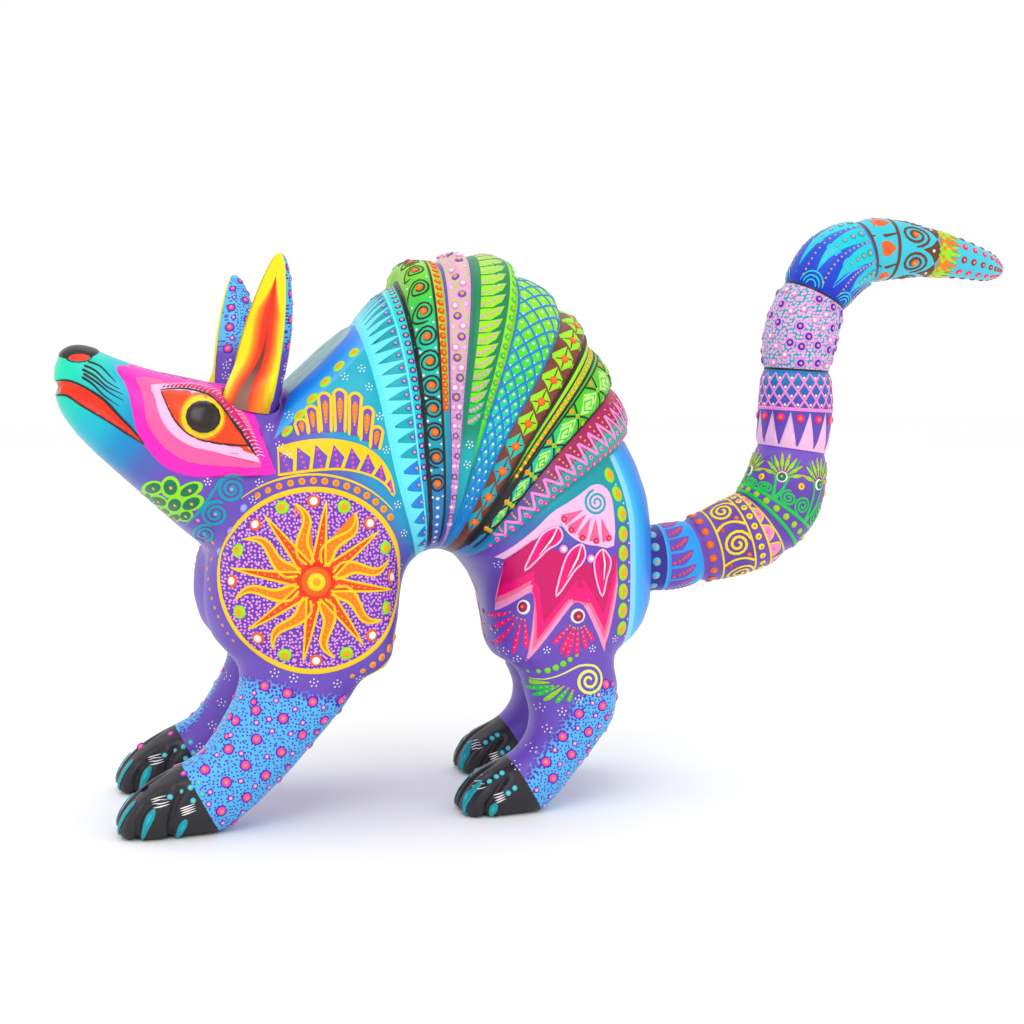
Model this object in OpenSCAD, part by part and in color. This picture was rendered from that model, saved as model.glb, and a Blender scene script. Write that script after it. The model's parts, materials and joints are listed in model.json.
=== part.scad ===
// Carved wooden armadillo: hand-carved torso with a banded shell, head, four legs,
// two plug-in ears and a plug-in tail. The animal faces -X and +Z is up.

/* [Body] */
// Half width of the shoulders and the haunches
body_half_w = 50; // [46:1:54]
// Radius of the arch under the belly
arch_r = 15; // [13:0.5:17]
// Depth of the carved groove between two shell bands
groove_depth = 2.6; // [1:0.2:3.4]
// Height of the joint faces on top of the four legs
leg_top_z = 60; // [58:0.5:62]

/* [Legs] */
// Half width of a leg at its joint face
leg_half_w = 19; // [16:0.5:20]
// Half width of a paw
paw_half_w = 14.5; // [12:0.5:16]

/* [Ears] */
// Length of an ear above its seat
ear_len_left = 61.5; // [52:0.5:64]
// Length of the right ear
ear_len_right = 54; // [48:0.5:60]
// Radius of an ear at its seat
ear_r = 11; // [10:0.25:11.5]
// Backward lean of the left ear in degrees
ear_lean_left = 11; // [4:1:14]
// Backward lean of the right ear in degrees
ear_lean_right = 4; // [0:1:8]
// Direction that the hollow of an ear faces, in degrees from straight ahead to the side
ear_facing = 41; // [30:1:50]

/* [Tail] */
// Radius of the tail at its seat on the rear shield
tail_base_r = 14; // [13:0.25:14.5]
// Height of the tail peg above the ground
tail_peg_z = 97; // [96:0.5:98]

/* [Joinery] */
// Diameter of the ear pegs
ear_peg_d = 7; // [5:0.5:8]
// Diameter of the tail peg
tail_peg_d = 12; // [10:0.5:13]
// Diameter of the glued leg and neck dowels
dowel_d = 10; // [8:0.5:12]
// Radial clearance of a peg that turns or pulls out
peg_clearance = 0.05; // [0.02:0.01:0.1]
// Gap between a plug-in piece and its seat
seat_gap = 0.1; // [0.05:0.05:0.2]

/* [Hidden] */
$fn = 48;

// The torso is a fan of sections around a line parallel to Y under the belly.
fan_x = -57;
fan_z = 90;

// Shell bands from front to rear: angle of the front edge, back radius at front and rear edge.
BANDS = [
    [106, 111, 125.5], [95.5, 133, 132.5], [87, 137.5, 136.5], [81.5, 138.5, 137], [75, 133, 130],
    [65.5, 127, 124.5], [57, 119.5, 115.5], [47.5, 113, 107]
];
bands_end = 38;
// Back radius of the neck and chest, and of the haunch, by fan angle.
CHEST_R = [
    [106.1, 112], [113, 112], [122, 109], [132, 107], [141, 105], [150, 100], [160, 99], [168, 98.5],
    [175, 97.5], [183, 98], [190, 96], [197, 90], [204, 81.5], [213, 74], [224, 66], [235, 58]
];
HAUNCH_R = [
    [-58, 55], [-50, 62], [-35, 72], [-24, 80], [-18, 87], [-12, 92], [-5, 94.3], [5, 94.8],
    [14, 97], [22, 99.5], [30, 101], [37.9, 102.5]
];
// Inner radius of the section, relative to the arch radius, by fan angle.
ARCH = [
    [-58, 24], [-51, 17], [-35, 9], [-20, 5], [0, 4], [20, 3], [60, 0], [120, -1], [160, -0.5], [186, 0.5],
    [205, 3], [218, 8], [228, 15], [235, 23]
];
// The right haunch starts further back than the left one: extra inner radius by fan angle.
HAUNCH_SET_BACK = [[-58, 16], [-40, 14], [-27, 10], [0, 4], [17, 0]];
// Widest half width of the section, as a share of body_half_w, by fan angle.
WIDTH = [
    [-58, 0.9], [-40, 0.96], [-20, 1], [10, 1], [38, 0.97], [60, 0.95], [90, 0.93], [106, 0.92],
    [125, 0.94], [150, 0.99], [172, 1.05], [195, 1.05], [215, 1], [235, 0.94]
];
// Squareness of the section by fan angle: 1 is an ellipse, lower is squarer.
SQUARENESS = [[-58, 0.78], [38, 0.8], [106, 0.8], [150, 0.76], [172, 0.68], [205, 0.68], [235, 0.74]];
section_points = 40;
// The shell is narrower near the back than near the belly.
back_narrowing = 0.1;
// The throat is hollowed between the shoulders.
throat_hollow = 9;
throat_angle = 183;

// Joint plane between neck and head, from its top to its bottom, in X and Z.
neck_top = [-118, 168];
neck_bottom = [-148, 104];
// Front rim of the shell, from its lower end to its top, in X and Z.
rim_low = [-124, 164];
rim_top = [-88, 198];

// Head rings: crown point, throat point (X, Z) and half width.
HEAD = [
    [neck_top, neck_bottom, 35], [[-126, 171], [-154, 111], 35.5], [[-138, 173], [-162, 118], 35],
    [[-150, 174.5], [-170, 125.5], 33], [[-162, 177], [-177, 132], 29.5], [[-173, 180], [-184.5, 139], 25],
    [[-184, 184], [-192, 146], 20.5], [[-192, 187.5], [-199, 153.5], 16.8], [[-199, 189], [-204, 160.5], 13.4],
    [[-204.2, 186.5], [-206.6, 166.5], 10], [[-207, 181], [-207.5, 172.5], 5]
];
head_points = 32;
head_squareness = 0.76;

// Foreleg rings: front point, rear point (X, Z), lateral centre and half width.
FORE_LEG = [
    [[-137, leg_top_z], [-84, leg_top_z], 30, leg_half_w], [[-142, 50], [-97, 47], 31.5, leg_half_w - 1],
    [[-148, 40], [-108, 35], 33.5, leg_half_w - 3.5], [[-154, 32], [-120, 22], 35.5, 14.2],
    [[-159, 28.5], [-134, 9], 37, 13.6], [[-163, 27], [-148, -1.5], 37.5, 13.8],
    [[-170, 23.5], [-159, -2.5], 37.5, paw_half_w], [[-178, 18.5], [-169, -2.5], 37.5, paw_half_w + 0.7],
    [[-185, 11.5], [-180, -2.5], 37.5, paw_half_w - 1], [[-189, 4], [-187, -1], 37.5, paw_half_w - 5]
];
// Hind leg rings, in the same form.
HIND_LEG = [
    [[-28, leg_top_z], [13, leg_top_z], 30, leg_half_w], [[-23, 48], [16.5, 50], 31, leg_half_w - 0.5],
    [[-20.5, 39], [14, 36], 32.5, leg_half_w - 2], [[-22, 31], [5, 24.5], 34.5, leg_half_w - 3.5],
    [[-27, 25], [-7, 10.5], 36, 14], [[-32, 22], [-18, -1.5], 36.5, 13.8],
    [[-38, 19.5], [-28, -2.5], 36.5, paw_half_w], [[-45, 15.5], [-38, -2.5], 36.5, paw_half_w + 0.5],
    [[-50.5, 9.5], [-47, -2.5], 36.5, paw_half_w - 1.5], [[-53.5, 4], [-52, -1], 36.5, paw_half_w - 5.5]
];

// Tail: centre line points X, Z and radius, from the seat to the tip.
TAIL_SEAT = [36.5, tail_peg_z];
TAIL = [
    [TAIL_SEAT[0] + seat_gap, TAIL_SEAT[1], tail_base_r], [50, 97.6, 14.4], [61, 99.8, 14.4], [78, 104.5, 16.6],
    [93, 111, 17.4], [103, 124, 18], [107, 143, 16], [108.8, 161, 16.2], [109, 178, 15.2], [111, 194, 16.2],
    [117, 210, 15.2], [126, 223, 16.2], [140, 229.8, 14.4], [155, 231, 12.8], [170, 230, 10.8],
    [186, 227.5, 8.6], [200, 224.2, 6.4], [206, 222.6, 3.6], [208.2, 222, 1.2]
];
// Places of the carved grooves between tail segments, counted along the points of TAIL.
TAIL_GROOVES = [2, 4, 6, 8, 10, 12];
tail_groove = 1.3;
tail_steps = 3;
tail_points = 28;

// Ear seats: centre of the seat on the head, and the outward lean.
ear_seat_left = [-133, -19, 164.5];
ear_seat_right = [-136.5, 20, 164.5];
ear_splay = 10;
ear_socket_depth = 12;
ear_peg_rise = 9;
// Ear rings as shares of the ear length: height, half width, depth of the back, depth of the hollow.
EAR = [
    [0, ear_r, ear_r, -ear_r], [0.05, 11.2, 11.1, -10.2], [0.12, 11.4, 11.2, -8.2], [0.19, 11.4, 11.3, -5.2],
    [0.27, 11.3, 11.8, -1.2], [0.38, 10.8, 12, 1.6],
    [0.52, 9.9, 11.6, 2.4], [0.66, 8.4, 10.4, 2.2], [0.8, 6.3, 8.2, 1.5], [0.9, 4.4, 6, 0.7], [0.97, 2.6, 3.6, 0],
    [1, 1.3, 1.8, -0.4]
];
ear_points = 24;

leg_points = 24;
leg_squareness = 0.86;
peg_depth = 15;
dowel_len = 26;
neck_dowel_d = dowel_d + 2;
// Room around a plug-in piece in its spot-faced seat.
ear_seat_room = 0.5;
tail_seat_room = 1.5;
fore_dowel = [-111, 30];
hind_dowel = [-8, 30];
// The right paws stand a little further back than the left ones, the joint faces less so.
fore_set_back = 4;
hind_set_back = 17;
set_back_at_top = 0.4;
far = 200;

function signed_pow(v, p) = sign(v) * pow(abs(v), p);

// Closed ring through a front and a rear point (X, Z), parallel to Y.
function ring(front, rear, yc, half_w, n, p) = [
    for (i = [0:n - 1])
        let (t = 360 * i / n, m = (front + rear) / 2, h = (front - rear) / 2, u = signed_pow(cos(t), p))
            [m[0] + h[0] * u, yc + half_w * signed_pow(sin(t), p), m[1] + h[1] * u]
];

function middle(points) = [for (k = [0:2]) [for (p = points) p[k]] * [for (p = points) 1] / len(points)];

// Solid through a list of rings with the same number of points, closed by a fan at each end.
module skin(rings) {
    n = len(rings[0]);
    m = len(rings);
    points = [each [for (r = rings) each r], middle(rings[0]), middle(rings[m - 1])];
    side = [
        for (i = [0:m - 2], j = [0:n - 1])
            let (k = (j + 1) % n, a = i * n + j, b = i * n + k, c = a + n, d = b + n)
                each [[a, c, d], [a, d, b]]
    ];
    start = [for (j = [0:n - 1]) [m * n, j, (j + 1) % n]];
    end = [for (j = [0:n - 1]) [m * n + 1, (m - 1) * n + (j + 1) % n, (m - 1) * n + j]];
    polyhedron(points = points, faces = concat(side, start, end), convexity = 8);
}

// Back radius inside band i at share u of its width: a crowned hump between two grooves.
function band_end(i) = i + 1 < len(BANDS) ? BANDS[i + 1][0] : bands_end;
function band_r(i, u) = BANDS[i][1] + (BANDS[i][2] - BANDS[i][1]) * u;
function band_drop(u) = groove_depth * pow(abs(2 * u - 1), 8);

// One torso section at a fan angle with back radius r and groove depth g at the back.
function section(a, r, g) = let (
    r_in = arch_r + lookup(a, ARCH),
    w = body_half_w * lookup(a, WIDTH),
    p = lookup(a, SQUARENESS),
    hollow = throat_hollow * exp(-pow((a - throat_angle) / 17, 2))
) [
    for (i = [0:section_points - 1])
        let (
            t = 360 * i / section_points,
            out = (1 + signed_pow(cos(t), p)) / 2,
            y = (w - 0.4 * g * out) * signed_pow(sin(t), p) * (1 - back_narrowing * cos(t)),
            right = max(0, min(1, y / w + 0.4)),
            low = r_in + right * lookup(a, HAUNCH_SET_BACK),
            rr = low + (r - g - low) * out - hollow * out * exp(-pow(y / 15, 2))
        )
            [fan_x + rr * cos(a), y, fan_z + rr * sin(a)]
];

band_samples = [0, 0.07, 0.2, 0.5, 0.8, 0.93];
torso_rings = concat(
    [for (k = [len(CHEST_R) - 1:-1:0]) section(CHEST_R[k][0], CHEST_R[k][1], 0)],
    [
        for (i = [0:len(BANDS) - 1], u = band_samples)
            if (i + u > 0)
                section(BANDS[i][0] + (band_end(i) - BANDS[i][0]) * u, band_r(i, u), band_drop(u))
    ],
    [for (k = [len(HAUNCH_R) - 1:-1:0]) section(HAUNCH_R[k][0], HAUNCH_R[k][1], 0)]
);

// Turn about Y that carries +Z to the outward normal of a face rising from low to high.
function face_turn(low, high) = -atan2(high[1] - low[1], high[0] - low[0]);
neck_turn = face_turn(neck_bottom, neck_top);
neck_mid = (neck_top + neck_bottom) / 2;

// Everything outside a face that runs from low to high, as wide as the body.
module outside(low, high, below) {
    translate([low[0], 0, low[1]])
        rotate([0, face_turn(low, high), 0])
            translate([-below, -far / 2, 0])
                cube([norm(high - low) + below, far, far / 3]);
}

// How far a right leg is set back at height z.
function set_back_at(z, set_back) = set_back * (1 - (1 - set_back_at_top) * z / leg_top_z);

// Dowel hole of a leg, half in the leg and half in the torso.
module leg_bore(place, side, set_back) {
    shift = side > 0 ? set_back_at(leg_top_z, set_back) : 0;
    translate([place[0] + shift, side * place[1], leg_top_z - dowel_len / 2])
        cylinder(d = dowel_d, h = dowel_len);
}

module neck_bore() {
    translate([neck_mid[0], 0, neck_mid[1]])
        rotate([0, neck_turn, 0])
            translate([0, 0, -dowel_len / 2])
                cylinder(d = neck_dowel_d, h = dowel_len);
}

module tail_axis(x) {
    translate([x, 0, tail_peg_z])
        rotate([0, 90, 0])
            children();
}

// Frame of an ear: origin at its seat, +Z along the peg.
module ear_frame(side) {
    translate(side < 0 ? ear_seat_left : ear_seat_right)
        rotate([-side * ear_splay, side < 0 ? ear_lean_left : ear_lean_right, 0])
            children();
}

module torso() {
    color("teal")
        difference() {
            skin(torso_rings);
            translate([-far, -far / 2, leg_top_z - far])
                cube([2 * far, far, far]);
            outside(neck_bottom, neck_top, 0);
            outside(rim_low, rim_top, 12);
            neck_bore();
            for (side = [-1, 1]) {
                leg_bore(fore_dowel, side, fore_set_back);
                leg_bore(hind_dowel, side, hind_set_back);
            }
            tail_axis(TAIL_SEAT[0])
                cylinder(r = tail_base_r + tail_seat_room, h = 20);
            tail_axis(TAIL_SEAT[0] - peg_depth - 1)
                cylinder(d = tail_peg_d + 2 * peg_clearance, h = far);
        }
}

module head() {
    color("mediumorchid")
        difference() {
            skin([for (r = HEAD) ring(r[0], r[1], 0, r[2], head_points, head_squareness)]);
            neck_bore();
            ear_socket(-1);
            ear_socket(1);
        }
}

// Round spot-faced seat and peg hole for one ear.
module ear_socket(side) {
    ear_frame(side) {
        cylinder(r = ear_r + ear_seat_room, h = 30);
        translate([0, 0, -ear_socket_depth])
            cylinder(d = ear_peg_d + 2 * peg_clearance, h = 2 * ear_socket_depth);
    }
}

// A leg point moved back on the right side.
function leg_point(p, side, set_back) = side > 0 ? [p[0] + set_back_at(p[1], set_back), p[1]] : p;

module leg(rings, place, side, set_back) {
    difference() {
        skin([
            for (r = rings)
                ring(
                    leg_point(r[0], side, set_back), leg_point(r[1], side, set_back),
                    side * r[2], r[3], leg_points, leg_squareness
                )
        ]);
        leg_bore(place, side, set_back);
        translate([-far, -far / 2, -far])
            cube([2 * far, far, far]);
    }
}

module fore_leg(side) {
    color("slateblue")
        leg(FORE_LEG, fore_dowel, side, fore_set_back);
}

module hind_leg(side) {
    color("slateblue")
        leg(HIND_LEG, hind_dowel, side, hind_set_back);
}

// One ring of an ear: rounded at the back, hollowed at the front.
function ear_ring(r, length) = [
    for (i = [0:ear_points - 1])
        let (t = 360 * i / ear_points, depth = cos(t) > 0 ? r[2] : r[3])
            [depth * abs(cos(t)), r[1] * sin(t), seat_gap + length * r[0]]
];

module ear(side) {
    color("gold")
        ear_frame(side)
            difference() {
                rotate([0, 0, -side * ear_facing])
                    skin([for (r = EAR) ear_ring(r, side < 0 ? ear_len_left : ear_len_right)]);
                translate([0, 0, -1])
                    cylinder(d = ear_peg_d + 2 * peg_clearance, h = ear_peg_rise + 1.5);
            }
}

module ear_peg(side) {
    color("burlywood")
        ear_frame(side)
            translate([0, 0, 0.5 - ear_socket_depth])
                cylinder(d = ear_peg_d, h = ear_socket_depth - 0.5 + ear_peg_rise);
}

// Smooth curve through the tail points: place and radius at segment i, share u.
function tail_at(i, u) = let (
    n = len(TAIL),
    a = TAIL[max(i - 1, 0)],
    b = TAIL[i],
    c = TAIL[min(i + 1, n - 1)],
    d = TAIL[min(i + 2, n - 1)]
) (2 * b + (c - a) * u + (2 * a - 5 * b + 4 * c - d) * u * u + (3 * b - a - 3 * c + d) * u * u * u) / 2;

function tail_cut(s) = tail_groove * max([for (g = TAIL_GROOVES) exp(-pow((s - g) / 0.14, 2))]);

function tail_ring(s, first) = let (
    i = min(floor(s), len(TAIL) - 2),
    p = tail_at(i, s - i),
    ahead = tail_at(i, s - i + 0.01),
    heading = first ? 0 : atan2(ahead[1] - p[1], ahead[0] - p[0]),
    r = p[2] - tail_cut(s)
) [
    for (k = [0:tail_points - 1])
        let (t = 360 * k / tail_points)
            [p[0] - r * cos(t) * sin(heading), r * sin(t), p[1] + r * cos(t) * cos(heading)]
];

module tail() {
    last = (len(TAIL) - 1) * tail_steps;
    color("mediumturquoise")
        difference() {
            skin([for (k = [0:last]) tail_ring(k / tail_steps, k == 0)]);
            tail_axis(TAIL_SEAT[0] - 1)
                cylinder(d = tail_peg_d + 2 * peg_clearance, h = peg_depth + 2);
        }
}

module tail_peg() {
    color("burlywood")
        tail_axis(TAIL_SEAT[0] - peg_depth)
            cylinder(d = tail_peg_d, h = 2 * peg_depth);
}

module neck_dowel() {
    color("burlywood")
        neck_bore();
}

module leg_dowel(place, side, set_back) {
    color("burlywood")
        leg_bore(place, side, set_back);
}

torso();
head();
fore_leg(-1);  // fore_leg_left
fore_leg(1);  // fore_leg_right
hind_leg(-1);  // hind_leg_left
hind_leg(1);  // hind_leg_right
ear(-1);  // ear_left
ear(1);  // ear_right
tail();
ear_peg(-1);  // ear_peg_left
ear_peg(1);  // ear_peg_right
tail_peg();
neck_dowel();
leg_dowel(fore_dowel, -1, fore_set_back);  // fore_dowel_left
leg_dowel(fore_dowel, 1, fore_set_back);  // fore_dowel_right
leg_dowel(hind_dowel, -1, hind_set_back);  // hind_dowel_left
leg_dowel(hind_dowel, 1, hind_set_back);  // hind_dowel_right
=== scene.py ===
"""Painted wooden armadillo: carved skin, plug-in ears and tail, and raised paintwork.

Lengths are in millimetres in the row frame until a mesh is made, which is in metres.
The animal faces -X, +Z is up, and the near side is -Y.
"""

import json
import math
import random

import bpy
import numpy as np
from mathutils import Euler, Matrix, Vector
from mathutils.bvhtree import BVHTree
from mathutils.geometry import delaunay_2d_cdt


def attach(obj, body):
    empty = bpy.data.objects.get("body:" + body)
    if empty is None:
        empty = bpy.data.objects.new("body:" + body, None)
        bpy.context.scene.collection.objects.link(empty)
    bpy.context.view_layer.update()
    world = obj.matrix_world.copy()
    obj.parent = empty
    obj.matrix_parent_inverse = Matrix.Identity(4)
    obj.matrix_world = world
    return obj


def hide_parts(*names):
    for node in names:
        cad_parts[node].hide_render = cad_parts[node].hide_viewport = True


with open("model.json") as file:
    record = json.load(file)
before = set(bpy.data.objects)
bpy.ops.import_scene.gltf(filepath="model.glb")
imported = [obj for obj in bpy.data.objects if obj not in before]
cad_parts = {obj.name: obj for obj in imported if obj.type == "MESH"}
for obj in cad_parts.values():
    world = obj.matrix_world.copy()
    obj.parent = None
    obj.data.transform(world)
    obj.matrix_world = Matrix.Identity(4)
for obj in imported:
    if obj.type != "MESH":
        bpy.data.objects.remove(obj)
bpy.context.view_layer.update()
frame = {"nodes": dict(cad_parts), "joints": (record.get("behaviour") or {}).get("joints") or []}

MM = 0.001
SIDES = (-1, 1)

# ---------------------------------------------------------------- driving sizes
SKIN_NODES = (
    "torso", "head", "fore_leg_left", "fore_leg_right", "hind_leg_left", "hind_leg_right",
)
VOXEL = 0.9
LEG_TOP = 60.0
JOINT_OVERLAP = 6.0
NECK_PLANE = ((-148.0, 104.0), (-118.0, 168.0))
RIM_PLANE = ((-124.0, 164.0), (-88.0, 198.0))

# The shell bands fan out from a line parallel to Y under the belly.
FAN_X, FAN_Z = -57.0, 90.0
SECTION_R = 72.0
# Fan angle of each band edge, front to rear, where the way around is 0 (ridge), 60, 100 and 140.
AROUND_KNOTS = (0, 60, 100, 140)
BAND_EDGES = (
    (105.5, 108.5, 112.5, 122.0), (96.0, 97.7, 99.4, 104.5), (88.5, 90.3, 90.4, 88.5),
    (83.3, 85.3, 86.1, 85.0), (75.6, 76.0, 78.6, 81.0), (65.3, 66.5, 70.4, 74.4),
    (58.5, 60.2, 62.8, 64.2), (48.0, 49.4, 52.5, 53.4), (37.6, 37.9, 41.0, 44.0),
)
BANDS = len(BAND_EDGES) - 1

# ---------------------------------------------------------------- outlines in the side view, X and Z
EYE_CENTRE = (-152.3, 161.0)
EYE = (
    (-167.1, 170.8), (-160, 171), (-154, 170.2), (-148, 167.6), (-143.6, 162.5), (-140, 157.3),
    (-136.5, 152), (-132.8, 146.4), (-138, 150.4), (-144, 150.8), (-152.5, 152.4), (-158.4, 155.4),
    (-162.4, 159.8), (-165, 165),
)
MOUTH_LINE = ((-207.5, 172.2), (-202.5, 172.0), (-198, 169.6), (-190, 164.6), (-183, 158.4), (-176, 151.8))
MOUTH_GAPE = (2.6, 3.0, 3.6, 3.1, 2.0, 0.5)


# ---------------------------------------------------------------- mesh arrays
def new_object(name, vertices, faces, body=None, material=None, smooth=True):
    """An object from points in millimetres; faces are tuples of point numbers."""
    mesh = bpy.data.meshes.new(name)
    mesh.from_pydata([tuple(float(c) * MM for c in v) for v in vertices], [], [tuple(f) for f in faces])
    mesh.update()
    if smooth:
        mesh.polygons.foreach_set("use_smooth", [True] * len(mesh.polygons))
    made = bpy.data.objects.new(name, mesh)
    bpy.context.scene.collection.objects.link(made)
    if material:
        mesh.materials.append(material)
    if body:
        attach(made, body)
    return made


def node_arrays(name):
    """Points in millimetres and triangles of a CAD node."""
    mesh = frame["nodes"][name].data
    points = np.zeros(len(mesh.vertices) * 3)
    mesh.vertices.foreach_get("co", points)
    mesh.calc_loop_triangles()
    triangles = np.zeros(len(mesh.loop_triangles) * 3, int)
    mesh.loop_triangles.foreach_get("vertices", triangles)
    return points.reshape(-1, 3) / MM, triangles.reshape(-1, 3)


def segment_share(x, z, ax, az, bx, bz):
    """How far along a segment, from 0 to 1, it comes nearest to each point."""
    return np.clip(((x - ax) * (bx - ax) + (z - az) * (bz - az)) / ((bx - ax) ** 2 + (bz - az) ** 2), 0, 1)


def point_normals(points, triangles):
    a, b, c = (points[triangles[:, k]] for k in range(3))
    face = np.cross(b - a, c - a)
    total = np.zeros_like(points)
    for corner in range(3):
        for axis in range(3):
            total[:, axis] += np.bincount(triangles[:, corner], face[:, axis], len(points))
    return total / np.maximum(np.linalg.norm(total, axis=1, keepdims=True), 1e-12)


def relaxed(points, triangles, weight, rounds):
    """Moves each point towards the middle of its neighbours, weight being the share per round."""
    a = triangles.ravel()
    b = np.roll(triangles, -1, axis=1).ravel()
    n = len(points)
    count = (np.bincount(a, minlength=n) + np.bincount(b, minlength=n))[:, None]
    for _ in range(rounds):
        total = np.stack(
            [np.bincount(a, points[b, k], n) + np.bincount(b, points[a, k], n) for k in range(3)], 1
        )
        points = points + weight[:, None] * (total / count - points)
    return points


def largest_part(points, triangles):
    label = np.arange(len(points))
    while True:
        low = label[triangles].min(axis=1)
        new = label.copy()
        for corner in range(3):
            np.minimum.at(new, triangles[:, corner], low)
        new = new[new]
        if np.array_equal(new, label):
            break
        label = new
    name, size = np.unique(label, return_counts=True)
    kept = label == name[size.argmax()]
    index = np.cumsum(kept) - 1
    return points[kept], index[triangles[kept[triangles[:, 0]]]]


def cut_along(points, triangles, field):
    """Splits the triangles so that none crosses field = 0."""
    field = np.where(np.abs(field) < 1e-4, 1e-4, field)
    high = field > 0
    sides = high[triangles].sum(axis=1)
    crossing = (sides == 1) | (sides == 2)
    whole, split = triangles[~crossing], triangles[crossing]
    if not len(split):
        return points, triangles
    odd_is_high = sides[crossing] == 1
    odd = np.argmax(high[split] == odd_is_high[:, None], axis=1)
    rows = np.arange(len(split))
    a, b, c = (split[rows, (odd + k) % 3] for k in range(3))
    pairs = np.sort(np.concatenate([np.stack([a, b], 1), np.stack([a, c], 1)]), axis=1)
    unique, where = np.unique(pairs, axis=0, return_inverse=True)
    where = where.ravel()
    share = field[unique[:, 0]] / (field[unique[:, 0]] - field[unique[:, 1]])
    new = points[unique[:, 0]] * (1 - share[:, None]) + points[unique[:, 1]] * share[:, None]
    p = where[: len(split)] + len(points)
    q = where[len(split):] + len(points)
    pieces = [whole, np.stack([a, p, q], 1), np.stack([p, b, c], 1), np.stack([p, c, q], 1)]
    return np.concatenate([points, new]), np.concatenate(pieces)


# ---------------------------------------------------------------- places on the figure
def fan_place(points):
    """Distance from the fan line, fan angle and way around the section, 0 at the ridge, 180 under."""
    x, y, z = points[..., 0] - FAN_X, points[..., 1], points[..., 2] - FAN_Z
    r = np.hypot(x, z)
    return r, np.degrees(np.arctan2(z, x)), np.degrees(np.arctan2(np.abs(y), r - SECTION_R))


EDGE_CURVES = [np.polyfit(AROUND_KNOTS, row, 3) for row in BAND_EDGES]


def band_edge(number, around):
    return np.polyval(EDGE_CURVES[number], np.clip(around, 0, 150))


def plane_distance(points, plane):
    """Signed distance to a plane parallel to Y, positive ahead of it and above it."""
    (x0, z0), (x1, z1) = plane
    length = math.hypot(x1 - x0, z1 - z0)
    return ((points[..., 2] - z0) * (x1 - x0) - (points[..., 0] - x0) * (z1 - z0)) / length


def outline_distance(x, z, outline):
    """Distance to a closed outline, positive inside."""
    best = np.full(np.shape(x), 1e9)
    inside = np.zeros(np.shape(x), bool)
    for (ax, az), (bx, bz) in zip(outline, outline[1:] + outline[:1]):
        share = ((x - ax) * (bx - ax) + (z - az) * (bz - az)) / ((bx - ax) ** 2 + (bz - az) ** 2)
        share = np.clip(share, 0, 1)
        best = np.minimum(best, np.hypot(x - ax - share * (bx - ax), z - az - share * (bz - az)))
        crosses = (az > z) != (bz > z)
        inside ^= crosses & (x < ax + (z - az) * (bx - ax) / (bz - az if bz != az else 1e-9))
    return np.where(inside, best, -best)


def bump(distance, width):
    return np.exp(-((distance / width) ** 2))


# ---------------------------------------------------------------- the carved skin
def carved_skin():
    """One closed skin over torso, head and legs, blended at the glue joints and carved."""
    points, triangles, start = [], [], 0
    ahead = np.array([NECK_PLANE[1][1] - NECK_PLANE[0][1], 0, NECK_PLANE[0][0] - NECK_PLANE[1][0]])
    ahead = ahead / np.linalg.norm(ahead)
    for name in SKIN_NODES:
        co, tri = node_arrays(name)
        if "leg" in name:
            co[co[:, 2] > LEG_TOP - 0.1, 2] += JOINT_OVERLAP
        if name == "head":
            at_neck = np.abs(plane_distance(co, NECK_PLANE)) < 0.2
            co[at_neck] += ahead * JOINT_OVERLAP
        points.append(co)
        triangles.append(tri + start)
        start += len(co)
    work = new_object("skin_work", np.concatenate(points), np.concatenate(triangles).tolist())
    remesh = work.modifiers.new("voxels", "REMESH")
    remesh.mode = "VOXEL"
    remesh.voxel_size = VOXEL * MM
    result = work.evaluated_get(bpy.context.evaluated_depsgraph_get()).to_mesh()
    co = np.zeros(len(result.vertices) * 3)
    result.vertices.foreach_get("co", co)
    result.calc_loop_triangles()
    tri = np.zeros(len(result.loop_triangles) * 3, int)
    result.loop_triangles.foreach_get("vertices", tri)
    bpy.data.objects.remove(work)
    co, tri = largest_part(co.reshape(-1, 3) / MM, tri.reshape(-1, 3))
    return smoothed_and_carved(co, tri)


def socket_share(points):
    """1 at the sockets of the ears and tail, which stay crisp, falling to 0 around them."""
    share = np.zeros(len(points))
    for joint in frame["joints"]:
        if joint["name"].endswith("_turn"):
            seat = np.array(joint["pos_m"]) / MM
            reach = 17.5 if "tail" in joint["name"] else 13.5
            gap = np.linalg.norm(points - seat, axis=1)
            share = np.maximum(share, np.clip((reach + 4 - gap) / 4, 0, 1))
    return share


def smoothed_and_carved(points, triangles):
    rounds = 0.6 / VOXEL ** 2
    crisp = socket_share(points)
    points = relaxed(points, triangles, 0.5 * (1 - crisp), int(38 * rounds))
    at_leg = bump(points[:, 2] - LEG_TOP, 9)
    at_neck = bump(plane_distance(points, NECK_PLANE), 8) * (points[:, 0] < -85) * (points[:, 2] > 95)
    at_ankle = np.clip((34 - points[:, 2]) / 10, 0, 1) * 0.15
    blend = np.clip(np.maximum(np.maximum(at_leg, at_neck), at_ankle), 0, 1) * (1 - crisp)
    points = relaxed(points, triangles, 0.5 * blend, int(150 * rounds))
    normal = point_normals(points, triangles)
    points = points + normal * carving(points)[:, None]
    points = relaxed(points, triangles, 0.3 * (1 - crisp), 2)
    return points, triangles


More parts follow.
